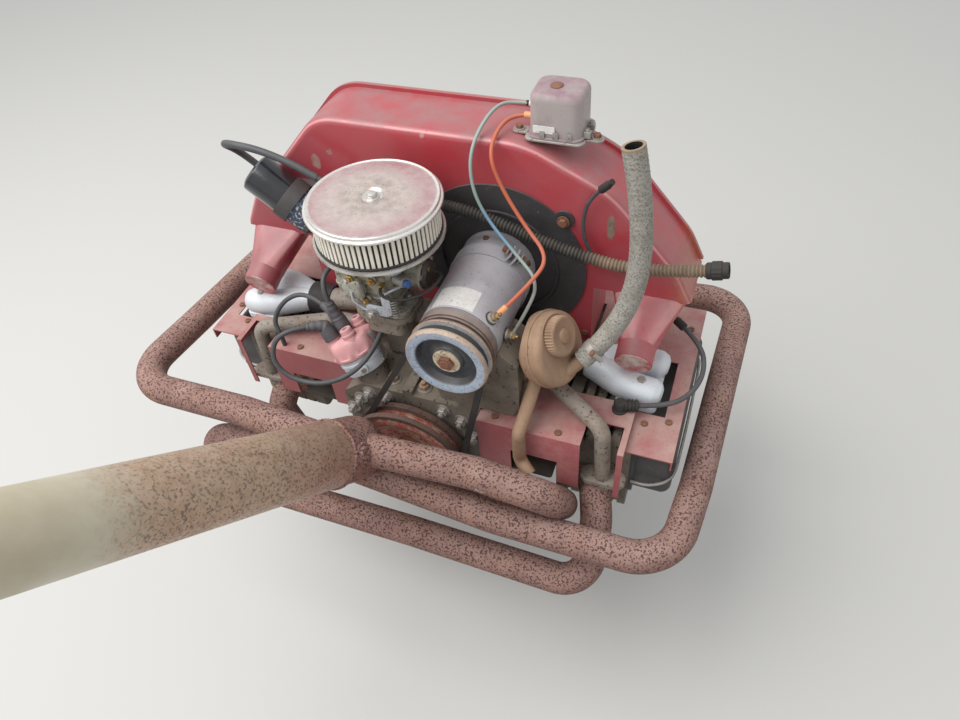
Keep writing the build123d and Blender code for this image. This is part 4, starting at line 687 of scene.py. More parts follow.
class Piece:
    """A mesh gathered from skins in millimetres, each with its own finish."""

    # A washer's height and, as shares of a nut's size across its flats, a washer's and a stud's radius
    WASHER_HIGH, WASHER_WIDE, STUD_WIDE = 1.4, 0.82, 0.29
    # In metres, how near two points are welded, and in degrees, from where an edge is sharp
    WELD, SHARP = 1e-7, 34

    def __init__(self, name: str) -> None:
        """Start an empty piece under its name.

        Args:
            name: the object's name.
        """
        self.name = name
        self.points: list[np.ndarray] = []
        self.faces: list[list[int]] = []
        self.marks: list[int] = []
        self.finishes: list[Finish] = []
        self.count = 0

    def skin(self, rings: np.ndarray, finish: Finish, loop: bool = False,
             later: Sequence[tuple[int, Finish]] = ()) -> None:
        """Add the surface through a row of closed rings with as many points each.

        Args:
            rings: rows of rings of points.
            finish: the skin's finish.
            loop: whether the last ring is joined to the first. Otherwise a face closes each of them.
            later: rows from which another finish holds, in order.
        """
        rows, around = rings.shape[:2]
        index = self.count + np.arange(rows * around).reshape(rows, around)
        if loop:
            index = np.vstack([index, index[:1]])
        near, far = index[:-1], index[1:]
        quads = np.stack([near, np.roll(near, -1, 1), np.roll(far, -1, 1), far], axis=-1).reshape(-1, 4).tolist()
        if not loop:
            quads += [index[0, ::-1].tolist(), index[-1].tolist()]
        marks = np.zeros(len(quads), int)
        for row, made in ((0, finish), *later):
            if made not in self.finishes:
                self.finishes.append(made)
            marks[row * around:] = self.finishes.index(made)
        if not loop:
            marks[-2] = marks[0]
        self.points.append(rings.reshape(-1, 3))
        self.faces += quads
        self.marks += marks.tolist()
        self.count += rows * around

    def lathe(self, origin: Vec, axis: Vec, profile: Profile, finish: Finish, sides: int, loop: bool = False,
              knurl: tuple[int, float] = (0, 0.0), span: tuple[float, float] = (0.0, 0.0)) -> None:
        """Turn a profile about an axis: a circle for each distance along it, its radius waved by a cosine if knurled.

        Args:
            origin: where the distance along the axis is nought.
            axis: the axis.
            profile: pairs of distance and radius.
            finish: the skin's finish.
            sides: how many points a circle has.
            loop: whether the profile closes on itself.
            knurl: how many waves go round, and their height.
            span: the distances between which the waves show.
        """
        side, up = square_to(axis)
        along, radius = np.asarray(profile, float).T
        turn = round_angles(sides)
        shown = ((along >= span[0]) & (along <= span[1]))[:, None]
        reach = radius[:, None] + shown * knurl[1] * np.cos(knurl[0] * turn)
        circle = np.cos(turn)[:, None] * side + np.sin(turn)[:, None] * up
        rings = np.asarray(origin, float) + along[:, None, None] * unit(axis) + reach[:, :, None] * circle
        self.skin(rings, finish, loop=loop)

    def rod(self, start: Vec, end: Vec, radius: float, finish: Finish, sides: int, edge: float = 0.6) -> None:
        """A straight bar between two points with its two edges broken.

        Args:
            start, end: the middles of its ends.
            radius: its radius.
            finish: its finish.
            sides: how many points its circle has.
            edge: the broken edges' size.
        """
        axis = np.asarray(end, float) - np.asarray(start, float)
        length = float(np.linalg.norm(axis))
        profile = ((0, radius - edge), (edge, radius), (length - edge, radius), (length, radius - edge))
        self.lathe(start, axis, profile, finish, sides)

    def wire(self, points: Sequence[Vec], radius: float, finish: Finish, sides: int = 8) -> None:
        """A round wire along a bent line with its corners rounded."""
        self.skin(tube_rings(smooth_path(points, 3), radius, sides), finish)

    def stack(self, centre: Vec, axis: Vec, outline: np.ndarray, rows: Profile, finish: Finish, near: Vec = UP) -> None:
        """Carry a flat outline along an axis, scaled about its middle in each row.

        Args:
            centre: where the height is nought.
            axis: the direction of the height.
            outline: points of side and height.
            rows: pairs of height and scale.
            finish: the skin's finish.
            near: the direction that the outline's height points to.
        """
        side, up = square_to(axis, near)
        height, scale = np.array(rows).T
        flat = outline[:, :1] * side + outline[:, 1:] * up
        self.skin(np.asarray(centre, float) + height[:, None, None] * unit(axis) + scale[:, None, None] * flat, finish)

    def slab(self, centre: Vec, axis: Vec, size: Vec, thickness: float, finish: Finish, edge: float = 0.5,
             near: Vec = UP, crown: float = 0.0) -> None:
        """A plate with round corners and broken edges and, if wanted, a dome: a quarter of an ellipse.

        Args:
            centre: the middle of the near face.
            axis: the direction of the thickness.
            size: its width, height and corner radius, and the sides of a corner if not 4.
            thickness: how thick it is.
            finish: the skin's finish.
            edge: the broken edges' size.
            near: the direction that its height points to.
            crown: the dome's height over the far face.
        """
        outline = rounded_outline(*size)
        rows = broken_rows(thickness, edge, float(np.abs(outline).max()))
        if crown:
            slim = rows[0][1]
            lean = np.radians((20, 40, 60, 75))
            rows += [(thickness + crown * math.sin(a), slim * (0.55 + 0.45 * math.cos(a))) for a in lean]
        self.stack(centre, axis, outline, rows, finish, near)

    def nut(self, seat: Vec, axis: Vec, across: float, height: float, finish: Finish, washer: Finish | None = None,
            stud: float = 0.0) -> None:
        """A hexagon with broken corners, on a washer and round a stud's end if wanted.

        Args:
            seat: the middle of the face that it sits on.
            axis: the direction it points to.
            across: its size across the flats.
            height: its height.
            finish: its finish.
            washer: the finish of the washer below it, if any.
            stud: how far the stud's end shows over it.
        """
        low = 0.0
        if washer:
            low = self.WASHER_HIGH
            self.lathe(seat, axis, band(0, low, across * 0.5, across * self.WASHER_WIDE), washer, 24)
        corner, high = across / math.sqrt(3), low + height
        rows = ((low, corner), (high - 1.0, corner), (high, corner * 0.86), (high, 0.0))
        self.lathe(seat, axis, rows, finish, 6)
        if stud:
            core = across * self.STUD_WIDE
            self.lathe(seat, axis, ((low, core), (high + stud, core), (high + stud + 0.8, core * 0.7)), finish, 12)

    def screw(self, seat: Vec, axis: Vec, radius: float, finish: Finish) -> None:
        """A cheese-head screw with a slot: two half discs on a thin one.

        Args:
            seat: the middle of the face that it sits on.
            axis: the direction it points to.
            radius: its head's radius.
            finish: its finish.
        """
        self.lathe(seat, axis, ((0, radius), (1.4, radius), (1.8, radius * 0.9)), finish, 20)
        turn = np.linspace(-1.3, 1.3, 9)
        half = radius * 0.95 * np.c_[np.sin(turn), np.cos(turn)]
        half[:, 1] = np.maximum(half[:, 1], radius * 0.16)
        rows = broken_rows(1.1, 0.2, float(np.abs(half).max()))
        for way in (1, -1):
            self.stack(np.asarray(seat, float) + 1.7 * unit(axis), axis, way * half, rows, finish)

    def build(self, body: Body = Body.ENGINE, replaces: Sequence[str] = ()) -> bpy.types.Object:
        """Weld the skins' seams and poles, turn the faces outward and hang the mesh on its body.

        Args:
            body: the rigid body that it rides on.
            replaces: the CAD nodes that it stands for.

        Returns:
            The new object.
        """
        mesh = bpy.data.meshes.new(self.name)
        mesh.from_pydata((np.concatenate(self.points) * MM).tolist(), [], self.faces)
        for finish in self.finishes:
            mesh.materials.append(finish.material())
        mesh.polygons.foreach_set("material_index", self.marks)
        work = bmesh.new()
        work.from_mesh(mesh)
        bmesh.ops.remove_doubles(work, verts=work.verts, dist=self.WELD)
        bmesh.ops.recalc_face_normals(work, faces=work.faces)
        work.to_mesh(mesh)
        work.free()
        mesh.shade_smooth()
        mesh.set_sharp_from_angle(angle=math.radians(self.SHARP))
        made = in_scene(self.name, mesh)
        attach(made, body.value)
        if replaces:
            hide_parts(*replaces)
        log.info("%s: %d faces on %s", self.name, len(mesh.polygons), body.value)
        return made


# Cords


@dataclass
class Cord:
    """One flexible lead, wire or hose, laid as a smooth line through its route's control points.

    The route repeats the corner points of the solid, in millimetres.
    """

    node: str
    radius: float
    length: float
    route: Places
    finish: Finish
    stiffness: str = "medium"
    far_end: str = "object"

    def curve(self, thick: float) -> bpy.types.Object:
        """The cord's quadratic B-spline as a curve object in the scene.

        Args:
            thick: the bevel's radius in millimetres, or 0 for the bare line.

        Returns:
            The curve object.
        """
        data = bpy.data.curves.new(self.node, "CURVE")
        data.dimensions = "3D"
        data.resolution_u = 14
        data.bevel_depth = thick * MM
        data.bevel_resolution = 4
        data.use_fill_caps = True
        spline = data.splines.new("NURBS")
        spline.points.add(len(self.route) - 1)
        spline.points.foreach_set("co", np.c_[np.array(self.route) * MM, np.ones(len(self.route))].ravel())
        spline.order_u = 3
        spline.use_endpoint_u = True
        return in_scene(self.node + "_cord", data)

    def drawn(self) -> bpy.types.Object:
        """The cord as a round curve in its finish.

        Returns:
            The curve object.
        """
        made = self.curve(self.radius)
        made.data.materials.append(self.finish.material())
        return made

    def heading(self) -> np.ndarray:
        """The direction in which the cord's far end points."""
        return unit(np.subtract(self.route[-1], self.route[-2]))

    def line(self, pitch: float) -> np.ndarray:
        """Points evenly along the cord's spline, read from the bare curve.

        Args:
            pitch: their wanted distance in millimetres.

        Returns:
            The points in millimetres.
        """
        bare = self.curve(0.0)
        mesh = bpy.data.meshes.new_from_object(bare.evaluated_get(bpy.context.evaluated_depsgraph_get()))
        places = np.empty(3 * len(mesh.vertices))
        mesh.vertices.foreach_get("co", places)
        places = places.reshape(-1, 3) / MM
        bpy.data.objects.remove(bare)
        bpy.data.meshes.remove(mesh)
        gone = np.r_[0.0, np.cumsum(np.linalg.norm(np.diff(places, axis=0), axis=1))]
        even = np.linspace(0.0, gone[-1], max(3, int(gone[-1] / pitch) + 1))
        return np.stack([np.interp(even, gone, places[:, k]) for k in range(3)], 1)

    def declare(self, made: bpy.types.Object, path: np.ndarray | None = None,
                pieces: Sequence[bpy.types.Object] = ()) -> None:
        """Hang the object on the engine, hide the cord's solid and log the cord's real length.

        Args:
            made: the curve or mesh.
            path: the points in millimetres that a mesh follows; not used.
            pieces: separate pieces on the cord; not used.
        """
        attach(made, Body.ENGINE.value)
        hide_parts(self.node)
        log.info("%s: cord of %.1f mm", self.node, self.length)

    def build(self) -> None:
        self.declare(self.drawn())


@dataclass
class CorrugatedConduit(Cord):
    """Split conduit with round ribs: its radius swings along the line. Its free plug rides with it."""

    pitch: float = 4.6
    swing: float = 1.7
    plug_radius: float = 11.0
    plug_length: float = 26.0
    socket_depth: float = 9.0
    pin_circle: float = 3.6

    def build(self) -> None:
        """Carry a circle along the line with a radius of a middle value plus a cosine of the way gone."""
        path = self.line(self.pitch / 6)
        way = np.linspace(0.0, self.length, len(path))
        radii = self.radius - self.swing * (0.5 - 0.5 * np.cos(FULL_TURN * way / self.pitch)) ** 2
        piece = Piece("loom_conduit_ribbed")
        piece.skin(tube_rings(path, radii, 16), self.finish)
        self.declare(piece.build(), path, [self.plug()])

    def plug(self) -> bpy.types.Object:
        """The plug on the free end: a ribbed grip, a collar and a hollow face with three pins.

        Returns:
            The plug's object.
        """
        piece = Piece("loom_plug")
        axis = self.heading()
        long, wide, face = self.plug_length, self.plug_radius, self.plug_length - self.socket_depth
        rows = ((0, 0), (0, 7.2), (0, wide - 2), (1.5, wide - 1), (6, wide - 1), (7, wide), (18, wide),
                (19, wide - 1.2), (long - 1, wide - 1.2), (long, wide - 2), (long, wide - 3.6), (face, wide - 3.6),
                (face, 0))
        piece.lathe(self.route[-1], axis, rows, BLACK_RUBBER, 28, knurl=(14, 0.35), span=(7, 18))
        side, up = square_to(axis)
        for turn in np.radians((30, 150, 270)):
            foot = np.array(self.route[-1]) + (face - 0.2) * axis + self.pin_circle * (
                math.cos(turn) * side + math.sin(turn) * up)
            piece.rod(foot, foot + 7.5 * axis, 1.1, OLD_BRASS, 10, 0.3)
        return piece.build()


@dataclass
class OpenHose(Cord):
    """Braided hose with an open mouth and a worm clamp at its lower end."""

    pitch: float = 2.0
    sides: int = 24
    bore: float = 9.0
    depth: float = 34.0
    lip_shares: Vec = (0.95, 0.86, 0.74)
    clamp_at: float = 17.0
    clamp_wide: float = 9.0

    def build(self) -> None:
        """One skin up the outside, round the lip in shrinking circles and back down the bore."""
        path = self.line(self.pitch)
        inside = path[::-1][1:int(self.depth / self.pitch)]
        outer = self.radius + 0.25 * np.sin(np.arange(len(path)) * 2.1)
        mouth = tube_rings(path, self.radius, self.sides)[-1:] - path[-1]
        rings = np.concatenate([tube_rings(path, outer, self.sides),
                                path[-1] + mouth * np.array(self.lip_shares)[:, None, None],
                                tube_rings(path, self.bore, self.sides)[::-1][1:len(inside) + 1]])
        piece = Piece("breather_hose_braided")
        piece.skin(rings, self.finish, later=((len(path) - 2, HOSE_LIP), (len(path) + 2, HOSE_BORE)))
        self.declare(piece.build(), path, [self.clamp(path)])

    def clamp(self, path: np.ndarray) -> bpy.types.Object:
        """A flat band square to the hose, with its worm screw laid across.

        Args:
            path: the hose's line in millimetres.

        Returns:
            The clamp's object.
        """
        piece = Piece("hose_clamp")
        first = int(self.clamp_at / self.pitch)
        seat = path[first]
        axis = unit(path[first + 1] - seat)
        grip = self.radius + 0.3
        piece.lathe(seat, axis, band(0, self.clamp_wide, grip, grip + 1.1), OLD_ZINC, 36, loop=True)
        side, up = square_to(axis, (0.6, -0.6, 0.4))
        screw = seat + self.clamp_wide / 2 * axis + (grip + 3.2) * up
        piece.rod(screw - 9 * side, screw + 7 * side, 3.6, OLD_ZINC, 14)
        piece.nut(screw + 7 * side, side, 7, 3.5, RUSTY_FASTENER)
        return piece.build()


@dataclass
class TippedLead(Cord):
    """A lead whose free end carries a moulded connector."""

    far_end: str = "connector"
    tip_length: float = 20.0
    tip_wall: float = 2.6

    def build(self) -> None:
        """Lay the lead, and turn the connector about the direction of its last stretch."""
        made = self.drawn()
        long, wide = self.tip_length, self.radius + self.tip_wall
        rows = ((-3, 0), (-3, wide - 1), (-2, wide), (long - 8, wide), (long - 6, wide - 1), (long, wide - 1.4),
                (long, 0))
        tip = Piece(self.node + "_connector")
        tip.lathe(self.route[-1], self.heading(), rows, BLACK_RUBBER, 24)
        self.declare(made, pieces=[tip.build()])


def all_cords() -> tuple[Cord, ...]:
    """Every cord of the engine, with the corner points of its solid.

    Returns:
        The cords in the order in which they are built.
    """
    return (
        OpenHose("breather_hose", 13.0, 295.0, ((228.5, -317.5, 185.1), (272, -284, 225), (284, -258, 345),
                                                (257, -250, 449)), HOSE_BRAID, "limp", "bare"),
        Cord("dynamo_wire_orange", 2.5, 320.0,
             ((123, -166, 420), (103, -166, 420), (88, -190, 416), (86, -224, 398), (102, -231, 360),
              (134, -242, 318), (170, -264, 296), (164, -296, 285), (130.3, -346, 261.2)), ORANGE_SHEATH, "limp"),
        Cord("dynamo_wire_green", 2.2, 379.0,
             ((123, -146, 424), (101, -146, 424), (76, -166, 430), (62, -218, 404), (64, -234, 360),
              (84, -242, 320), (130, -262, 286), (166, -290, 276), (160, -318, 252), (143.9, -333, 219.9)),
             GREEN_SHEATH),
        TippedLead("regulator_lead", 2.4, 169.6,
                   ((262, -203.5, 246), (228, -217, 254), (204, -215, 280), (198, -214, 318), (206, -215, 352),
                    (222, -222, 372)), GREY_RUBBER),
        CorrugatedConduit("loom_conduit", 8.0, 405.5,
                          ((-46, -217, 306), (-12, -217, 306), (36, -226, 317), (88, -224, 303), (130, -226, 291),
                           (205, -233, 278), (280, -233, 270), (352, -231, 287)), DUSTY_CONDUIT,
                          far_end="connector"),
        TippedLead("plug_lead_right", 3.5, 186.2,
                   ((304, -300, 101), (340, -290, 101), (366, -266, 106), (377, -230, 114), (366, -192, 126),
                    (336, -172, 134)), GREY_RUBBER),
        Cord("plug_lead_rear", 3.5, 304.7,
             ((-142.8, -361.6, 181.4), (-172.3, -381.9, 185.1), (-182, -404, 154), (-160, -410, 126),
              (-112, -404, 118), (-64, -390, 142), (-43, -352, 164), (-50, -300, 171)), GREY_RUBBER, "limp"),
        Cord("plug_lead_front", 3.5, 157.7,
             ((-145.4, -310.1, 176.7), (-178.8, -297.1, 180.4), (-216, -304, 164), (-234, -322, 134),
              (-222, -330, 112), (-222, -330, 92)), GREY_RUBBER, "limp"),
        Cord("coil_lead", 3.5, 137.6,
             ((-118.6, -328.7, 205.6), (-124.7, -326.1, 221.3), (-130, -307.2, 238.3), (-121, -262, 231),
              (-133.4, -239, 240.2), (-153.6, -239, 256.6)), GREY_RUBBER, "limp"),
        Cord("fuel_hose", 5.0, 251.3,
             ((-150, -240, 338), (-205, -240, 366), (-296, -240, 372), (-302, -190, 323.9), (-268, -190, 291.5)),
             GREY_RUBBER, "limp"),
        Cord("vacuum_hose", 2.0, 149.7,
             ((-22, -335, 268), (-22, -357, 268), (12, -364, 270), (44, -350, 278), (52, -318, 280),
              (44, -304, 276), (28, -304, 276)), BLACK_RUBBER, "limp"),
    )


# Sub-assemblies, sizes in millimetres


@dataclass
class Seated:
    """A sub-assembly that measures its places from one point."""

    centre: Vec

    def at(self, x: float, y: float, z: float) -> tuple[float, float, float]:
        """A place measured from the centre."""
        return (self.centre[0] + x, self.centre[1] + y, self.centre[2] + z)


class Turned:
    """A sub-assembly about an axis, whose places go by distance, angle and height."""

    def at(self, reach: float, turn: float, along: float) -> np.ndarray:
        """A place by its distance from the axis, its angle in degrees and its place along the axis."""
        raise NotImplementedError

    def out(self, turn: float) -> np.ndarray:
        """The direction away from the axis at an angle."""
        return self.at(1, turn, 0) - self.at(0, 0, 0)


@dataclass
class AirCleaner(Seated):
    """Chromed lid with a stepped rim, its wing bolt, and the rubber seals over and under the paper."""

    centre: Vec = (-26.0, -312.0, 0.0)
    radius: float = 82.5
    lid_low: float = 372.0
    lid_height: float = 6.9
    seal_radius: float = 77.6
    seal_lows: tuple[float, ...] = (332.0, 368.6)
    # Height over the lid's foot and place against its radius: rolled edge, two bright steps, a shallow dusty band, a
    # ring and the hollow round the bolt
    lid_rise: Profile = (
        (0.6, 0.0), (0.6, -9.0), (0.0, -3.2), (0.2, -1.2), (1.0, -0.3), (2.2, 0.0), (3.3, -0.3), (4.1, -1.1),
        (4.4, -2.2), (4.6, -2.9), (5.4, -3.3), (6.9, -3.5), (7.7, -3.9), (8.1, -4.6), (8.0, -5.4), (7.3, -6.4),
        (7.1, -7.2), (7.6, -12.0), (8.5, -24.0), (9.3, -40.0), (9.7, -44.0), (9.7, -46.0), (9.5, -48.0),
        (9.8, -58.0), (9.9, -65.0), (9.5, -67.5), (7.6, -70.0), (6.9, -73.0), (6.9, 0.0))
    washer_rows: Profile = ((0, 0), (0, 8.5), (1.2, 8.5), (1.6, 7.6), (1.6, 0))
    bolt_rows: Profile = ((0, 0), (0, 6.2), (2.6, 6.2), (4.2, 5.2), (5.0, 3.0), (5.2, 0))

    def lid(self) -> None:
        """Turn the lid, closed on its axis at both ends, and the bolt on its washer."""
        rows = np.array((self.lid_low, self.radius)) + self.lid_rise
        rows[0, 1] = rows[-1, 1] = 0.0
        piece = Piece("cleaner_lid")
        piece.lathe(self.centre, UP, rows, CHROME_LID, 128)
        low = self.lid_low + self.lid_height
        piece.lathe(self.at(0, 0, low), UP, self.washer_rows, DUSTY_CHROME, 32)
        piece.lathe(self.at(0, 0, low + 1.5), UP, self.bolt_rows, DUSTY_CHROME, 24)
        piece.build(replaces=["air_cleaner_lid"])

    def seals(self) -> None:
        """Two black rings of rectangular section that grip the paper."""
        piece = Piece("cleaner_seals")
        wide = self.seal_radius
        rows = ((0, wide - 5), (0, wide - 0.6), (0.6, wide), (2.8, wide), (3.4, wide - 0.6), (3.4, wide - 5))
        for low in self.seal_lows:
            piece.lathe(self.at(0, 0, low), UP, rows, BLACK_RUBBER, 96, loop=True)
        piece.build()

    def build(self) -> None:
        """Build the lid and the seals."""
        self.lid()
        self.seals()


@dataclass
class Carburettor(Seated):
    """Single-throat carburettor: castings, top plate, automatic choke, pump, linkage, plugs and fittings."""

    centre: Vec = (-38.0, -306.0, 206.0)
    deck: float = 82.0
    # Each cast block's place, width, depth, corner radius and height
    blocks: Places = (
        (0, 0, 0, 78, 58, 16, 9), (-4, 0, 24, 68, 56, 12, 58), (-38, 2, 32, 38, 62, 10, 50),
        (-4, 0, 30, 73, 60, 12, 4), (-38, 2, 44, 40, 65, 10, 3), (-2, -20, 40, 44, 22, 6, 30))
    # Each brass plug's X and Z, the length of its boss and its size across the flats
    plugs: Places = ((-26, 66, 5, 10), (4, 68, 5, 10), (20, 44, 4, 11), (-10, 32, 4, 9))
    deck_screws: Places = ((-54, -30), (-54, 30), (38, -30), (38, 30), (-8, -33), (-8, 33))
    horn_rows: Profile = ((0, 0), (0, 31), (2, 30), (22, 30), (24, 33), (25, 33), (25, 27), (1, 27), (1, 0))
    choke_place: Vec = (20, 6, 58)
    choke_rows: Profile = ((0, 0), (0, 18), (1, 19), (34, 19), (35, 21.5), (38, 22), (39.5, 21.5))
    choke_cap_rows: Profile = ((39, 0), (40.5, 19.5), (42.5, 18), (45.5, 16.5), (46, 14), (46, 0))
    pump_screws: Places = ((-35, 39), (-13, 39), (-35, 61), (-13, 61))
    pump_rod: Places = ((-24, -44, 50), (-24, -44.5, 34), (-12, -43, 24), (0, -42, 18))
    choke_rod: Places = ((22, -42, 50), (24, -43, 58), (36, -36, 62), (48, -20, 62))
    spring_turns: int = 7

    def castings(self, piece: Piece) -> None:
        """Foot, throat, body, float bowl, bosses and ribs.

        Args:
            piece: the piece to add them to.
        """
        for *place, wide, deep, corner, tall in self.blocks:
            piece.slab(self.at(*place), UP, (wide, deep, corner), tall, OLIVE_CHROMATE, 1.0, AHEAD)
        piece.rod(self.at(0, 0, 1), self.at(0, 0, 32), 24, OLIVE_CHROMATE, 36, 1.0)
        for x in (-32, 32):
            piece.nut(self.at(x, 0, 9), UP, 13, 8, OLD_ZINC, OLD_ZINC, 4)
        for x, z, reach, _ in self.plugs:
            piece.rod(self.at(x, -26, z), self.at(x, -31 - reach, z), 6.5, OLIVE_CHROMATE, 18, 1.2)

    def top_plate(self, piece: Piece) -> None:
        """The zinc deck plate and the cast cover on it, with the screws and the air horn.

        Args:
            piece: the piece to add them to.
        """
        piece.slab(self.at(-8, 0, self.deck), UP, (104, 74, 16), 3.4, BLUE_ZINC, 0.6, AHEAD)
        piece.slab(self.at(-8, 0, self.deck + 3.4), UP, (98, 68, 15), 6.6, OLIVE_CHROMATE, 1.2, AHEAD)
        for x, y in self.deck_screws:
            piece.screw(self.at(x, y, self.deck + 3.4 if abs(y) > 31 else self.deck + 9.6), UP, 4.2, OLD_ZINC)
        piece.lathe(self.at(4, -2, self.deck + 9), UP, self.horn_rows, OLIVE_CHROMATE, 48)

    def choke(self, piece: Piece) -> None:
        """The round choke housing on the right with its cover, ring and three screws.

        Args:
            piece: the piece to add them to.
        """
        origin = self.at(*self.choke_place)
        piece.lathe(origin, RIGHTWARD, self.choke_rows, OLIVE_CHROMATE, 40)
        piece.lathe(origin, RIGHTWARD, self.choke_cap_rows, BROWN_MOULDING, 40, knurl=(20, 0.5), span=(42, 45.6))
        for turn in np.radians((35, 155, 275)):
            seat = np.array(origin) + (39.4, 19.6 * math.cos(turn), 19.6 * math.sin(turn))
            piece.screw(seat, RIGHTWARD, 3.4, OLD_ZINC)

    def pump(self, piece: Piece) -> None:
        """The accelerator pump's four-cornered cover, its screws and its rod.

        Args:
            piece: the piece to add them to.
        """
        piece.rod(self.at(-24, -24, 50), self.at(-24, -36, 50), 16, OLIVE_CHROMATE, 32, 1.0)
        piece.slab(self.at(-24, -36, 50), REARWARD, (30, 30, 7), 4, OLIVE_CHROMATE, 0.8, crown=3.0)
        for x, z in self.pump_screws:
            piece.screw(self.at(x, -39.6, z), REARWARD, 2.8, OLD_ZINC)
        piece.wire([self.at(*place) for place in self.pump_rod], 1.6, BLUE_ZINC)

    def linkage(self, piece: Piece) -> None:
        """Throttle shaft, its two levers and nut, the return spring as a helix, and the choke's rod.

        Args:
            piece: the piece to add them to.
        """
        piece.rod(self.at(0, -43, 18), self.at(0, 40, 18), 4, OLD_ZINC, 16)
        piece.slab(self.at(8, -40.5, 24), REARWARD, (34, 16, 7), 2.2, BLUE_ZINC, 0.4)
        piece.slab(self.at(22, -40.8, 36), REARWARD, (12, 34, 5), 2.0, BLUE_ZINC, 0.4)
        piece.nut(self.at(0, -43, 18), REARWARD, 10, 5, OLD_ZINC, OLD_ZINC, 1.5)
        turn = np.linspace(0.0, FULL_TURN * self.spring_turns, 170)
        x, y, z = self.centre
        spring = np.c_[x + 30 + 4.2 * np.cos(turn), y - 38 + 4.2 * np.sin(turn), np.linspace(z + 14, z + 44, len(turn))]
        piece.skin(tube_rings(spring, 0.7, 6), OLD_ZINC)
        piece.wire([self.at(*place) for place in self.choke_rod], 1.5, BLUE_ZINC)

    def fittings(self, piece: Piece) -> None:
        """Brass hexagon plugs, hose nipples and the blue and zinc idle valve.

        Args:
            piece: the piece to add them to.
        """
        for x, z, _, across in self.plugs:
            piece.nut(self.at(x, -35.6, z), REARWARD, across, 4.5, OLD_BRASS, None, 1.2)
        for start, end, radius, finish, sides, edge in (
                ((16, -26, 62), (16, -40, 62), 3.0, OLD_BRASS, 14, 0.6),
                ((58, 2, 70), (67, 2, 70), 3.2, OLD_BRASS, 14, 0.6),
                ((30, -22, 66), (48, -30, 70), 6.4, OLD_ZINC, 20, 1.0),
                ((47, -29.6, 69.8), (54, -32.7, 71.3), 5.0, BLUE_PLASTIC, 18, 1.0),
                ((-62, -10, 62), (-56, -10, 62), 5.5, OLD_BRASS, 16, 0.6)):
            piece.rod(self.at(*start), self.at(*end), radius, finish, sides, edge)

    def build(self) -> None:
        """Put the carburettor together as one piece in place of its solid."""
        piece = Piece("carburettor_detail")
        for part in (self.castings, self.top_plate, self.choke, self.pump, self.linkage, self.fittings):
            part(piece)
        piece.build(replaces=["carburettor"])


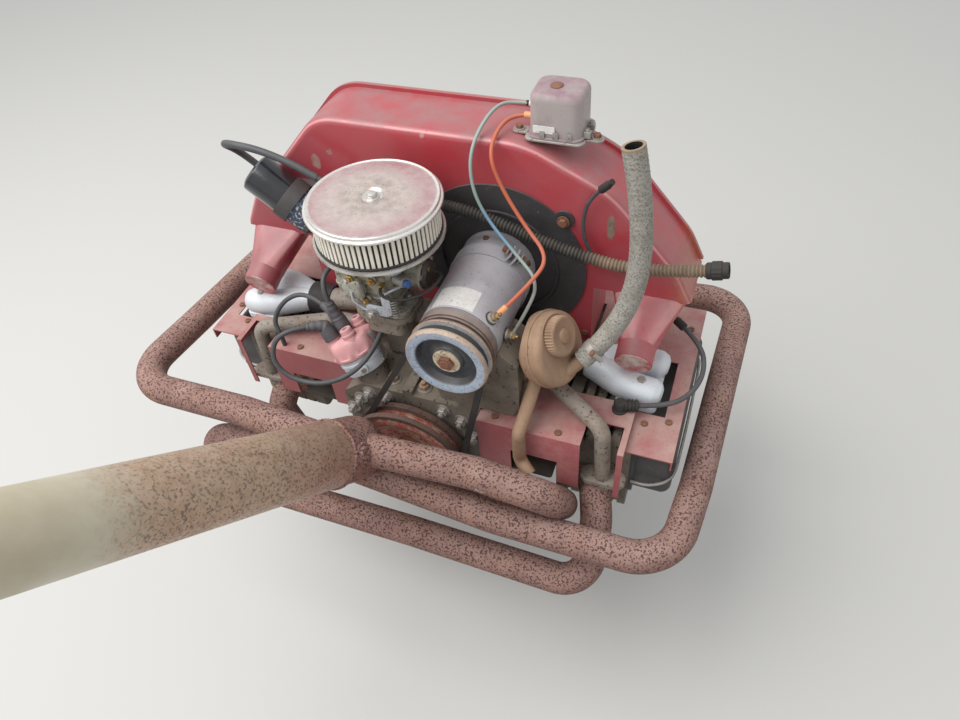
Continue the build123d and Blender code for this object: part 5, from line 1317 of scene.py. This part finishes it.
@dataclass
class Distributor(Turned):
    """Distributor leaning left: bowl, fluted cap with five towers, spring clips and rubber boots."""

    foot: Vec = (-64.0, -346.0, 98.0)
    axis: Vec = (-0.4695, 0.1392, 0.8719)
    bowl_radius: float = 32.0
    vacuum_turn: float = 300.0
    cap_radius: float = 37.0
    tower_circle: float = 21.0
    tower_foot: float = 60.0
    tower_top: float = 84.0
    tower_turns: tuple[float, ...] = (45.0, 135.0, 225.0, 315.0)
    # Distance from the axis and height along a clip
    clip_line: Profile = ((33, 16), (35.6, 24), (38.6, 38), (37.6, 55), (33.6, 63.5), (31.5, 60.5))
    # Each boot's share of the tower circle, its angle and the way it bends to
    boots: tuple[tuple[float, float, Vec], ...] = (
        (0.0, 0.0, (-0.35, 0.15, 0.9)), (1.0, 135.0, (-0.9, 0.35, 0.1)), (1.0, 225.0, (-0.8, -0.55, 0.1)))
    # Radius of a boot at shares of its length
    boot_shares: Vec = (0, 0.3, 0.55, 0.68, 1.0)
    boot_radii: Vec = (11.0, 11.0, 9.4, 7.4, 5.6)

    def at(self, reach: float, turn: float, along: float) -> np.ndarray:
        """A place by its distance from the axis, its angle from the right and its height over the foot.

        Args:
            reach: its distance from the axis.
            turn: its angle in degrees from the right.
            along: its height over the foot.

        Returns:
            The place in millimetres.
        """
        lean = unit(self.axis)
        side = unit(np.array(RIGHTWARD) - lean[0] * lean)
        ahead = np.cross(lean, side)
        angle = math.radians(turn)
        return np.array(self.foot) + along * lean + reach * (math.cos(angle) * side + math.sin(angle) * ahead)

    def bowl(self, piece: Piece) -> None:
        """Cast bowl with a neck and a rim, and a round boss with its screw on the side.

        Args:
            piece: the piece to add them to.
        """
        wide, turn = self.bowl_radius, self.vacuum_turn
        rows = ((0, 0), (0, 14), (9, 14), (10, 17), (13, wide - 5), (15, wide - 1), (17, wide), (30, wide),
                (31, wide + 1), (34, wide + 1), (35, wide), (41, wide), (41, 0))
        piece.lathe(self.foot, self.axis, rows, SILVER_CASTING, 56)
        piece.rod(self.at(wide - 4, turn, 24), self.at(wide + 5, turn, 24), 7, SILVER_CASTING, 20, 1)
        piece.screw(self.at(wide + 4.6, turn, 24), self.out(turn), 4, OLD_ZINC)

    def cap(self, piece: Piece) -> None:
        """Fluted cap, whose radius waves round the axis between the towers, and its five hollow towers.

        Args:
            piece: the piece to add them to.
        """
        wide, tall = self.cap_radius, self.tower_top - self.tower_foot
        rows = ((41.5, 0), (41.5, wide - 2.5), (43, wide - 1), (46, wide - 0.8), (47, wide - 1.8), (56, wide - 2.6),
                (63, wide - 3.6), (67, wide - 5.5), (69.5, wide - 9), (71, wide - 15), (71.5, 0))
        piece.lathe(self.foot, self.axis, rows, SALMON_MOULDING, 96, knurl=(8, 1.5), span=(46.5, 68))
        rows = ((0, 0), (0, 11), (8, 10), (12, 9.2), (13, 10), (16, 10), (17, 9), (tall - 1, 8.4), (tall, 7.4),
                (tall, 4), (18, 4), (18, 0))
        for reach, turn in (*((self.tower_circle, turn) for turn in self.tower_turns), (0.0, 0.0)):
            piece.lathe(self.at(reach, turn, self.tower_foot), self.axis, rows, SALMON_MOULDING, 28)

    def clips(self, piece: Piece) -> None:
        """Two flat spring clips that hook over the cap's shoulder, each with its pivot.

        Args:
            piece: the piece to add them to.
        """
        for turn in (2.0, 182.0):
            line = smooth_path([self.at(reach, turn, along) for reach, along in self.clip_line], 2)
            across, out = self.out(turn + 90), self.out(turn)
            strip = np.stack([line + a * 4.2 * across + b * 0.5 * out
                              for a, b in ((-1, -1), (1, -1), (1, 1), (-1, 1))], 1)
            piece.skin(strip, OLD_ZINC)
            pivot = self.at(32.4, turn, 18)
            piece.rod(pivot - 5 * across, pivot + 5 * across, 2.2, OLD_ZINC, 12)

    def boot_set(self) -> None:
        """Rubber boots that bend from the towers to their leads, ribbed by a cosine of the way gone."""
        piece = Piece("lead_boots_ribbed")
        for share, turn, way in self.boots:
            foot, rim, knee = (self.at(share * self.tower_circle, turn, self.tower_top + over) for over in (-9, 5, 14))
            line = smooth_path([foot, rim, knee, knee + 24 * unit(way)], 4)
            gone = np.linspace(0.0, 1.0, len(line))
            radii = np.interp(gone, self.boot_shares, self.boot_radii)
            radii = radii + 0.35 * (gone > 0.55) * np.cos(gone * FULL_TURN * 9)
            piece.skin(tube_rings(line, radii, 20), BOOT_RUBBER)
        piece.build(replaces=["lead_boots"])

    def build(self) -> None:
        """Build the distributor in place of its solids, and its boots."""
        piece = Piece("distributor_detail")
        for part in (self.bowl, self.cap, self.clips):
            part(piece)
        piece.build(replaces=["distributor", "distributor_cap"])
        self.boot_set()


@dataclass
class IgnitionCoil:
    """Oil-filled coil: a crimped can with half of its wrapper worn, and a phenolic head with two terminals."""

    middle: Vec = (-201.0, -239.0, 295.0)
    axis: Vec = (0.777, 0.0, -0.629)
    radius: float = 28.0
    half: float = 61.0
    terminal_reach: float = 16.5

    def build(self) -> None:
        """Turn the can, the wrapper and the head about one axis, in place of the solid."""
        wide, far, body = self.radius, self.half, self.radius - 0.4
        piece = Piece("coil_detail")
        for rows, finish, sides in (
                (((-far, 0), (-far, wide - 6), (-far + 1, wide - 5), (-far + 1.5, wide - 3), (-far + 3, wide - 1),
                  (-far + 5, body), (-8, body), (-8, 0)), COIL_ENAMEL, 56),
                (band(-8.2, 36, 0, body), WORN_LABEL, 56),
                (((35.8, 0), (35.8, body), (39, wide - 0.3), (40, wide), (42, wide), (43, wide - 1), (44, wide - 3),
                  (44, 0)), COIL_ENAMEL, 56),
                (((43, 0), (43, 24), (46, 23), (47.5, 18), (48.5, 11), (56, 9.4), (far, 8.6), (far, 4), (54, 4),
                  (54, 0)), BROWN_MOULDING, 40)):
            piece.lathe(self.middle, self.axis, rows, finish, sides)
        side, up = square_to(self.axis, REARWARD)
        for way in (-1, 1):
            seat = np.array(self.middle) + 45.5 * unit(self.axis) + self.terminal_reach * way * side
            piece.nut(seat, self.axis, 8, 4, OLD_BRASS, OLD_ZINC, 4)
        seat = np.array(self.middle) + 46 * unit(self.axis) + 16 * up
        piece.rod(seat, seat + 6 * unit(self.axis), 4.2, BLUE_PLASTIC, 16)
        piece.build(replaces=["ignition_coil"])


@dataclass
class Regulator(Seated):
    """Voltage regulator: a drawn can with a soft crown, on an eared base plate with terminals below."""

    centre: Vec = (156.0, -166.0, 405.0)
    length: float = 66.0
    width: float = 56.0
    base: float = 2.6
    ear_x: float = 42.0
    can_top: float = 47.0
    crown: float = 8.5
    button_rows: Profile = ((0, 0), (0, 8), (1.8, 7.6), (2.6, 5.5), (2.8, 0))

    def can(self, piece: Piece) -> None:
        """Carry the can's outline up, drawn in along a quarter circle over its crown, with a button on top.

        Args:
            piece: the piece to add them to.
        """
        top, slim = self.can_top, 0.985
        rows = [(4.0, 1.0), (top - 1, slim)]
        rows += [(top + self.crown * math.sin(a), slim - 0.20 * (1 - math.cos(a)))
                 for a in np.radians((0, 15, 30, 45, 60, 75, 90))]
        top += self.crown
        rows += [(top + 0.6, 0.5), (top + 0.9, 0.2)]
        piece.stack(self.centre, UP, rounded_outline(self.length - 2, self.width - 2, 14, 7), rows, TINNED_STEEL, AHEAD)
        piece.lathe(self.at(-4, -2, top), UP, self.button_rows, RUSTY_FASTENER, 28)

    def tabs(self, piece: Piece) -> None:
        """The blank label, the tabs below the can and at its right end, and the wires' sleeves at its left end.

        Args:
            piece: the piece to add them to.
        """
        rear, right, left = -self.width / 2, self.length / 2 + 3, -self.length / 2
        piece.slab(self.at(-12, rear + 0.6, 15), REARWARD, (26, 9, 1), 1.0, PALE_LABEL, 0.2)
        for x in (-14, 2, 18):
            piece.slab(self.at(x, rear - 1, 4.6), UP, (6.3, 0.9, 0.3, 2), 9, OLD_ZINC, 0.2, AHEAD)
        for y in (-14, 4):
            piece.slab(self.at(right, y, 4), UP, (9, 7, 1, 2), 8, OLD_ZINC, 0.3, AHEAD)
            piece.screw(self.at(right, y, 12), UP, 2.8, OLD_ZINC)
        for y, tall, finish in ((0, 15, PALE_SLEEVE), (20, 19, PALE_LABEL)):
            piece.rod(self.at(left + 2, y, tall), self.at(left - 11, y, tall), 4.0, finish, 16, 0.8)
        piece.rod(self.at(left - 10.8, 20, 19), self.at(left - 15, 20, 19), 3.3, BLACK_RUBBER, 16)

    def build(self) -> None:
        """Stack base, ears, flange and can, and add the tabs."""
        piece = Piece("regulator_detail")
        base, ear = self.base, self.ear_x
        piece.slab(self.centre, UP, (self.length + 6, self.width + 6, 8), base, OLD_ZINC, 0.4, AHEAD)
        for x, nut_x in ((-ear, -ear - 5), (ear, ear + 5)):
            piece.slab(self.at(x, -10, 0), UP, (26, 15, 6), base, OLD_ZINC, 0.4, AHEAD)
            piece.nut(self.at(nut_x, -10, base), UP, 8, 4, RUSTY_FASTENER, OLD_ZINC)
        piece.slab(self.at(0, 0, base), UP, (self.length + 2, self.width + 2, 13), 3.2, TINNED_STEEL, 1.0, AHEAD)
        self.can(piece)
        self.tabs(piece)
        piece.build(replaces=["voltage_regulator"])


@dataclass
class Dynamo(Turned):
    """What sits on the dynamo: a fouled label, its terminals' nuts and tags, strap bolt, and its pulley."""

    axis: Vec = DYNAMO
    radius: float = 51.5
    label_y: tuple[float, float] = (-356.0, -322.0)
    label_turn: tuple[float, float] = (66.0, 128.0)
    # Each terminal's angle and Y, with the way its wire's sleeve points, if it has one
    terminals: tuple[tuple[float, float, Vec | None], ...] = (
        (39.5, -346.0, (33.7, 50.0, 23.8)), (-3.0, -333.0, None))
    tag_height: float = 8.5
    strap_y: float = -248.0
    strap_turn: float = 55.0
    screw_turns: Vec = (100, 24)
    screw_y: float = -225.0
    # Distance to the rear of the pulley's middle and radius, round both halves and back along the bore
    pulley_rows: Profile = (
        (-13, 10), (-13, 48.5), (-12.2, 50.4), (-9, 52.2), (-7.4, 53), (-6.2, 52.8), (-2.6, 41.0), (2.6, 41.0),
        (6.2, 52.8), (7.4, 53), (9, 52.8), (11.6, 51.8), (12.8, 50.6), (13, 49.4), (12.4, 42.2), (12.0, 40.4),
        (10.6, 39.0), (4.0, 37.0), (1.6, 34.8), (1.0, 31), (1.0, 23), (2.0, 21), (5.0, 19.5), (6.0, 18), (6.0, 10))
    washer_rows: Profile = ((5.6, 0), (5.6, 17.2), (6.2, 17.6), (8.4, 17.6), (9.0, 16.8), (9.0, 0))
    shaft_rows: Profile = ((0, 0), (0, 6.2), (5.2, 6.2), (6.0, 5.2), (6.0, 0))

    def at(self, reach: float, turn: float, along: float) -> np.ndarray:
        """A place by its distance from the axis, its angle from the right and its Y."""
        angle = math.radians(turn)
        return np.array((self.axis[0] + reach * math.cos(angle), along, self.axis[2] + reach * math.sin(angle)))

    def label(self) -> None:
        """A thin curved sheet: the same arc at each Y, once inside and once outside."""
        turn = np.linspace(*self.label_turn, 20)
        ring = np.stack([self.at(self.radius + 0.05, t, 0) for t in turn]
                        + [self.at(self.radius + 0.45, t, 0) for t in turn[::-1]])
        piece = Piece("dynamo_label")
        piece.skin(ring[None] + np.linspace(*self.label_y, 6)[:, None, None] * np.array(AHEAD), PALE_LABEL)
        piece.build()

    def terminal(self, piece: Piece, turn: float, y: float, sleeve: Vec | None) -> None:
        """An insulator, its nut, the wire's tag and the nut on it, and the wire's crimp sleeve if it has one.

        Args:
            piece: the piece to add them to.
            turn: the terminal's angle.
            y: the terminal's Y.
            sleeve: the way the sleeve points, or None.
        """
        out, tag_reach = self.out(turn), self.radius + self.tag_height
        rows = ((0, 0), (0, 8.5), (1.6, 8.5), (2.2, 7), (2.2, 0))
        piece.lathe(self.at(self.radius - 0.5, turn, y), out, rows, BROWN_MOULDING, 24)
        piece.nut(self.at(self.radius + 1.7, turn, y), out, 9, 4.4, OLD_BRASS, OLD_ZINC)
        tag = self.at(tag_reach, turn, y)
        piece.lathe(tag, out, band(-0.9, 0.9, 0, 5.4), OLD_ZINC, 20)
        piece.nut(self.at(tag_reach + 0.9, turn, y), out, 8, 4, OLD_BRASS, None, 3)
        if sleeve:
            piece.rod(tag + 3 * unit(sleeve), tag + 17 * unit(sleeve), 3.9, PALE_SLEEVE, 16, 0.8)

    def detail(self) -> None:
        """Both terminals, the strap's bolt and two screws in the housing."""
        piece = Piece("dynamo_fittings")
        for turn, y, sleeve in self.terminals:
            self.terminal(piece, turn, y, sleeve)
        lug = self.at(self.radius + 13, self.strap_turn, self.strap_y)
        across = self.out(self.strap_turn + 90)
        piece.rod(lug - 13 * across, lug + 12 * across, 3.2, RUSTY_FASTENER, 14)
        piece.nut(lug - 9 * across, -across, 10, 5.5, RUSTY_FASTENER, OLD_ZINC)
        piece.nut(lug + 9 * across, across, 10, 5, RUSTY_FASTENER, OLD_ZINC)
        for turn in self.screw_turns:
            piece.screw(self.at(self.radius - 0.2, turn, self.screw_y), self.out(turn), 4, RUSTY_FASTENER)
        piece.build()

    def pulley(self) -> None:
        """Two dished pulley halves round a V groove, with washers and the shaft's nut, turned about the axis."""
        piece = Piece("dynamo_pulley_turned")
        piece.lathe(self.axis, REARWARD, self.pulley_rows, PULLEY_FACE, 96, loop=True)
        piece.lathe(self.axis, REARWARD, self.washer_rows, SPECKLED_WASHER, 48)
        seat = np.array(self.axis) + 8.8 * np.array(REARWARD)
        piece.nut(seat, REARWARD, 19, 4.8, RUSTY_FASTENER)
        piece.lathe(seat, REARWARD, self.shaft_rows, RUSTY_FASTENER, 24)
        piece.build(Body.ROTOR, ["dynamo_pulley"])

    def build(self) -> None:
        """Build the label, the fittings and the pulley."""
        self.label()
        self.detail()
        self.pulley()


@dataclass
class OilFiller:
    """Knurled cap, a rolled seam round the drum, and the rim below the cap."""

    middle: Vec = (190.0, -319.0, 196.0)
    axis: Vec = (0.882, -0.190, 0.431)
    radius: float = 48.0
    cap_radius: float = 26.0
    cap_height: float = 15.0
    cap_reach: tuple[float, float] = (18.0, 20.0)

    def build(self) -> None:
        """Turn the cap in place of its solid, and the seam and the rim as rings."""
        lean = unit(self.axis)
        _, up = square_to(self.axis)
        seat = np.array(self.middle) + self.cap_reach[0] * lean + self.cap_reach[1] * up
        wide, tall = self.cap_radius - 1.0, self.cap_height
        rows = ((0, 0), (0, wide - 1), (0.8, wide), (tall - 4.5, wide), (tall - 3, wide - 1), (tall - 2.2, wide - 3),
                (tall - 2.6, wide - 5), (tall - 3.4, wide - 8), (tall - 3.4, 10), (tall - 1.2, 8.5), (tall - 0.4, 6),
                (tall - 0.4, 0))
        cap = Piece("filler_cap_knurled")
        cap.lathe(seat, self.axis, rows, TAN_DUST, 168, knurl=(42, 0.7), span=(0.5, tall - 4))
        cap.build(replaces=["oil_filler_cap"])
        seam = Piece("filler_seam")
        ring = self.radius + 0.1
        rows = ((-1.6, ring - 1), (-1.6, ring + 1.1), (-0.8, ring + 1.7), (0.8, ring + 1.7), (1.6, ring + 1.1),
                (1.6, ring - 1))
        seam.lathe(self.middle, self.axis, rows, TAN_DUST, 72, loop=True)
        seam.lathe(seat - 0.4 * lean, self.axis, band(-1.5, 0.2, 20, 27.5), TAN_DUST, 48, loop=True)
        seam.build()


@dataclass
class Housing:
    """The blower housing's fittings: plugs in the heater outlets, the back plate's nuts and sheet screws."""

    outlets: Places = ((-286.0, -268.0, 145.0), (286.0, -268.0, 145.0))
    outlet_drop: float = 18.0
    outlet_radius: float = 24.4
    plate_centre: Vec = (84.0, -211.0, 223.0)
    ear_reach: float = 124.0
    ear_turn: float = 43.7
    rear_screws: Places = ((206.6, -205, 118.9), (-36, -205, 118.9))

    def build(self) -> None:
        """Set every plug, nut and screw on its face."""
        drop = math.radians(self.outlet_drop)
        axis = (0, -math.cos(drop), -math.sin(drop))
        plugs = Piece("outlet_plugs")
        wide = self.outlet_radius
        rows = ((-0.5, 0), (-0.5, wide - 0.6), (0.6, wide - 0.2), (1.4, wide - 0.6), (1.5, wide - 1.8), (0.7, wide - 3),
                (0.5, wide - 5), (0.9, 6), (0.9, 0))
        for centre in self.outlets:
            plugs.lathe(centre, axis, rows, HALF_BARE, 48)
        plugs.build()
        bolts = Piece("housing_bolts")
        for quarter in range(4):
            turn = math.radians(self.ear_turn + 90 * quarter)
            seat = np.array(self.plate_centre) + self.ear_reach * np.array((math.cos(turn), 0, math.sin(turn)))
            bolts.nut(seat, REARWARD, 10, 4.2, RUSTY_FASTENER, RUSTY_FASTENER)
        for place in self.rear_screws:
            bolts.screw(place, REARWARD, 4.6, RUSTY_FASTENER)
        bolts.build()


@dataclass
class IntakeCastings:
    """The twin-port castings on the heads: two round runners that part from one mouth, over a flat foot."""

    # A runner's distance from the middle plane, how far it is parted, its height and its radius
    ways: tuple[tuple[float, float, float, float], ...] = (
        (204, 0, 103, 17), (222, 3, 103, 18.5), (246, 12, 101, 20), (272, 22, 98.5, 21), (298, 26.5, 96.5, 21),
        (318, 26.5, 95.5, 20), (326, 26.5, 95, 16), (329.5, 26.5, 94.5, 9))
    foot: Vec = (56.0, 92.0, 8)
    bolt: Vec = (300.0, 26.5, 116.5)

    def build(self) -> None:
        """Shape both castings, each round runner a tube whose radius changes along its line."""
        rows = np.array(self.ways)
        corners = np.arange(len(rows))
        step = np.linspace(0, len(rows) - 1, 36)
        x, apart, z = self.bolt
        for side, name in ((LEFT, "intake_casting_left"), (RIGHT, "intake_casting_right")):
            piece = Piece(name + "_runners")
            low, high = (np.array(corner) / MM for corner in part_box(name))
            middle = (low[1] + high[1]) / 2
            for turn in (-1, 1):
                line = np.c_[side * rows[:, 0], middle + turn * rows[:, 1], rows[:, 2]]
                path = np.stack([np.interp(step, corners, line[:, k]) for k in range(3)], axis=1)
                piece.skin(tube_rings(path, np.interp(step, corners, rows[:, 3]), 32), SILVER_CASTING)
                piece.nut((side * x, middle + turn * apart, z), UP, 11, 3, OLD_ZINC)
            piece.slab((side * (x - 2), middle, low[2]), UP, self.foot, 12.0, SILVER_CASTING, 1.5, AHEAD)
            piece.build(replaces=[name])


@dataclass
class Connectors:
    """The loom's socket on the housing and the ribbed spark plug connector on the right tin."""

    socket_low: Vec = (-58.5, -205.0, 306.0)
    socket_size: float = 25.0
    lead_start: Vec = (304.0, -300.0, 101.0)
    lead_knee: Vec = (340.0, -290.0, 101.0)
    length: float = 24.0
    radius: float = 8.5
    rib_depth: float = 1.6
    ribs: int = 5
    tin_z: float = 92.0
    foot_rows: Profile = ((0, 0), (0, 10), (2.5, 10), (4, 8.6), (14, 8.4), (17, 6.5), (17.6, 0))

    def socket(self) -> None:
        """A square block with a collar, and the round mouth that takes the conduit."""
        piece = Piece("loom_socket")
        size, low = self.socket_size, self.socket_low
        piece.slab(low, REARWARD, (size, size, 3), size - 1, BLACK_RUBBER, 1.0)
        piece.slab(np.add(low, (0, -4, 0)), REARWARD, (size + 0.8, size + 0.8, 3), 2.0, BLACK_RUBBER, 0.4)
        start, end = (np.add(low, (size / 2 + over, -12, 0)) for over in (-2, 4))
        piece.rod(start, end, 10.0, BLACK_RUBBER, 28, 1.0)
        piece.build(replaces=["connectors"])

    def build(self) -> None:
        """Shape the socket, and turn the plug connector with square ribs over its round foot."""
        self.socket()
        plug = Piece("plug_connector_ribbed")
        back = unit(np.subtract(self.lead_start, self.lead_knee))
        way = np.linspace(0.0, self.length, 49)
        radii = self.radius - self.rib_depth * (np.cos(way / self.length * FULL_TURN * self.ribs) > 0)
        rows = np.vstack([(0, 0), np.c_[way, radii], (self.length, 0)])
        plug.lathe(self.lead_start, back, rows, BLACK_RUBBER, 28)
        x, y, _ = np.add(self.lead_start, self.length * back)
        plug.lathe((x, y, self.tin_z), UP, self.foot_rows, BLACK_RUBBER, 32)
        plug.build()


@dataclass
class HeaderDetail:
    """Weld beads round the tail pipe's foot and the bung, the bung's plug, and a small tab on a header tube."""

    bead: float = 2.4
    stinger_radius: float = 44.5
    bung: tuple[Vec, Vec] = ((-13.2, -479.6, 102.9), (0.94, 0.02, 0.33))
    bung_radius: float = 12.0
    bung_rows: Profile = ((-3, 0), (-3, 12), (0.5, 12), (1.6, 10.6), (2.4, 9), (5.0, 8.6), (5.8, 7.6), (5.8, 4.2),
                          (3.5, 3.8), (3.5, 0))
    tab: tuple[Vec, Vec] = ((138.8, -463.6, 65.5), (0.1, -0.9, 0.3))

    def weld(self, piece: Piece, centre: Vec, axis: Vec, radius: float, count: int) -> None:
        """A lumpy ring: a circle whose bead swells by the sine's size with every drop of the weld.

        Args:
            piece: the piece that it joins.
            centre: the ring's middle.
            axis: the ring's axis.
            radius: the ring's radius.
            count: how many drops go round.
        """
        side, up = square_to(axis)
        turn = round_angles(8 * count)
        ring = np.array(centre) + radius * (np.cos(turn)[:, None] * side + np.sin(turn)[:, None] * up)
        out = (ring - np.array(centre)) / radius
        swell = (self.bead * (0.8 + 0.3 * np.abs(np.sin(count * turn / 2))))[:, None, None]
        lean = round_angles(8)[None, :, None]
        rings = ring[:, None] + swell * (np.cos(lean) * out[:, None] + np.sin(lean) * unit(axis))
        piece.skin(rings, RUSTED_TUBE, loop=True)

    def build(self) -> None:
        """Weld the tail pipe's foot, set the plug in its bung and the tab on its tube."""
        piece = Piece("header_welds")
        self.weld(piece, STINGER_START, STINGER_AXIS, self.stinger_radius + 0.3, 54)
        place, way = self.bung
        piece.lathe(place, way, self.bung_rows, RUSTED_TUBE, 36)
        self.weld(piece, place, way, self.bung_radius, 16)
        piece.slab(*self.tab, (13, 6, 1, 2), 2.5, STAINED_PIPE, 0.6, near=(0.3, 0, 1))
        piece.build()


@dataclass
class CaseFittings:
    """Nuts on the crankcase, screws in the tins, and deflector sheets held between the crankcase and the heads."""

    case_nuts: Places = ((-61, -370, 84), (-34, -370, 84), (52, -370, 84), (78, -370, 70), (-78, -370, 66),
                                  (95, -370, 40), (-95, -370, 40))
    deck_nuts: Places = ((-30, -350, 98), (18, -352, 98))
    tin_screws: Places = (
        (316, -311, 80), (346, -300, 80), (346, -120, 80), (-316, -292, 80), (-346, -262, 80), (214, -368, 92),
        (126, -366, 92), (-126, -328, 92), (-196, -328, 92))
    sheets: Places = ((155.5, -350, -4), (-155.5, -312, -4))
    sheet_size: Vec = (105.0, 54.0, 4)

    def build(self) -> None:
        """Set the nuts and screws on their faces and hang the sheets."""
        piece = Piece("case_fittings")
        for place in self.case_nuts:
            piece.nut(place, REARWARD, 13, 7, OLD_ZINC, OLD_ZINC, 4)
        for place in self.deck_nuts:
            piece.nut(place, UP, 13, 7, TAN_DUST, OLD_ZINC, 5)
        for place in self.tin_screws:
            piece.screw(place, UP, 4.8, RUSTY_FASTENER)
        piece.build()
        sheets = Piece("deflector_sheets")
        for place in self.sheets:
            sheets.slab(place, UP, self.sheet_size, 2.0, OILY_SHEET, 0.4, AHEAD)
        sheets.build()


@dataclass
class RockerBails:
    """The spring wires that hold the rocker covers."""

    reach: float = 369.5
    root: float = 312.0
    banks: tuple[tuple[int, float, float], ...] = ((RIGHT, -341.5, -76.5), (LEFT, -303.5, -38.5))

    def build(self) -> None:
        """Bend one wire over each cover: in at the ends, out and level across the middle."""
        piece = Piece("rocker_bails")
        half = ((self.root, 0, -14), (self.root + 26, -2, -12), (self.reach - 4, 10, -4), (self.reach, 44, 0))
        for side, rear, front in self.banks:
            line = [(side * x, rear + y, z) for x, y, z in half] + [(side * x, front - y, z) for x, y, z in half[::-1]]
            piece.wire(line, 2.2, OLD_ZINC, 10)
        piece.build()


# The studio


@dataclass
class Studio:
    """Pale floor, soft light and the camera at the photograph's angle."""

    camera_place: Vec = (0.364264, -0.915128, 0.856873)
    azimuth: float = 24.590
    elevation: float = 47.397
    roll: float = 5.962
    focal_px: float = 722.965
    frame_px: int = 960
    sensor_mm: float = 36.0
    floor_z: float = -0.42
    floor_half: float = 8.0
    floor_tone: str = "#c9c7c2"
    sky_tone: str = "#eef1f5"
    sky_strength: float = 0.82
    back_tone: str = "#e6e6e4"
    lamp_place: Vec = (-1.2, -1.0, 2.6)
    lamp_watts: float = 95.0
    lamp_size: float = 2.6
    lamp_turn: Vec = (25.0, -24.0, 0.0)

    def floor(self) -> None:
        """Lay a plain pale floor far enough out to fill the frame."""
        half = self.floor_half
        corners = [(x * half, y * half, self.floor_z) for x, y in ((-1, -1), (1, -1), (1, 1), (-1, 1))]
        mesh = bpy.data.meshes.new("floor")
        mesh.from_pydata(corners, [], [(0, 1, 2, 3)])
        floor = in_scene("floor", mesh)
        made = bpy.data.materials.new("matt_pale_floor")
        tree = bare_tree(made)
        shader = node(tree, "BsdfPrincipled", {"Base Color": linear(self.floor_tone), "Roughness": 0.9})
        node(tree, "OutputMaterial", {"Surface": shader})
        mesh.materials.append(made)

    def lights(self) -> None:
        """An even sky that looks pale to the camera and in mirrors, and one broad lamp high at the left rear."""
        world = bpy.data.worlds.new("sky")
        bpy.context.scene.world = world
        tree = bare_tree(world)
        seen = node(tree, "LightPath", output="Is Camera Ray")
        for ray in ("Is Glossy Ray", "Is Transmission Ray"):
            seen = node(tree, "Math", {0: seen, 1: node(tree, "LightPath", output=ray)}, operation="MAXIMUM")
        light = node(tree, "Background", {0: linear(self.sky_tone), 1: self.sky_strength})
        back = node(tree, "Background", {0: linear(self.back_tone), 1: 1.0})
        node(tree, "OutputWorld", {0: node(tree, "MixShader", {0: seen, 1: light, 2: back})})
        data = bpy.data.lights.new("window", "AREA")
        data.size = self.lamp_size
        data.energy = self.lamp_watts
        lamp = in_scene("window", data)
        lamp.location = self.lamp_place
        lamp.rotation_euler = np.radians(self.lamp_turn)

    def camera(self) -> None:
        """Place the camera from its azimuth, elevation and roll."""
        az, el, roll = (math.radians(a) for a in (self.azimuth, self.elevation, self.roll))
        ahead = np.array([-math.sin(az) * math.cos(el), math.cos(az) * math.cos(el), -math.sin(el)])
        right = np.array([math.cos(az), math.sin(az), 0.0])
        down = np.cross(ahead, right)
        data = bpy.data.cameras.new("camera")
        data.sensor_width = self.sensor_mm
        data.lens = self.focal_px * data.sensor_width / self.frame_px
        camera = in_scene("camera", data)
        turn = np.eye(4)
        turn[:3, 0] = math.cos(roll) * right + math.sin(roll) * down
        turn[:3, 1] = math.sin(roll) * right - math.cos(roll) * down
        turn[:3, 2] = -ahead
        turn[:3, 3] = self.camera_place
        camera.matrix_world = Matrix(turn.tolist())
        bpy.context.scene.camera = camera

    def build(self) -> None:
        """Set up the whole studio."""
        self.floor()
        self.lights()
        self.camera()
        bpy.context.scene.view_settings.view_transform = "Standard"


def dress_solids() -> None:
    """Give every CAD piece its finish by the first matching name prefix."""
    for name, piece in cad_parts.items():
        finish = next(made for prefix, made in NODE_FINISHES if name.startswith(prefix))
        piece.data.materials.clear()
        piece.data.materials.append(finish.material())
        log.info("dressed %s as %s", name, finish.name)


def main() -> None:
    """Build the studio and every piece of the engine, in order."""
    Studio().build()
    dress_solids()
    for cord in all_cords():
        cord.build()
    for made in (AirCleaner, Carburettor, Distributor, IgnitionCoil, Regulator, Dynamo, OilFiller, Housing, Connectors,
                 IntakeCastings, HeaderDetail, CaseFittings, RockerBails):
        made().build()


if __name__ == "__main__":
    main()
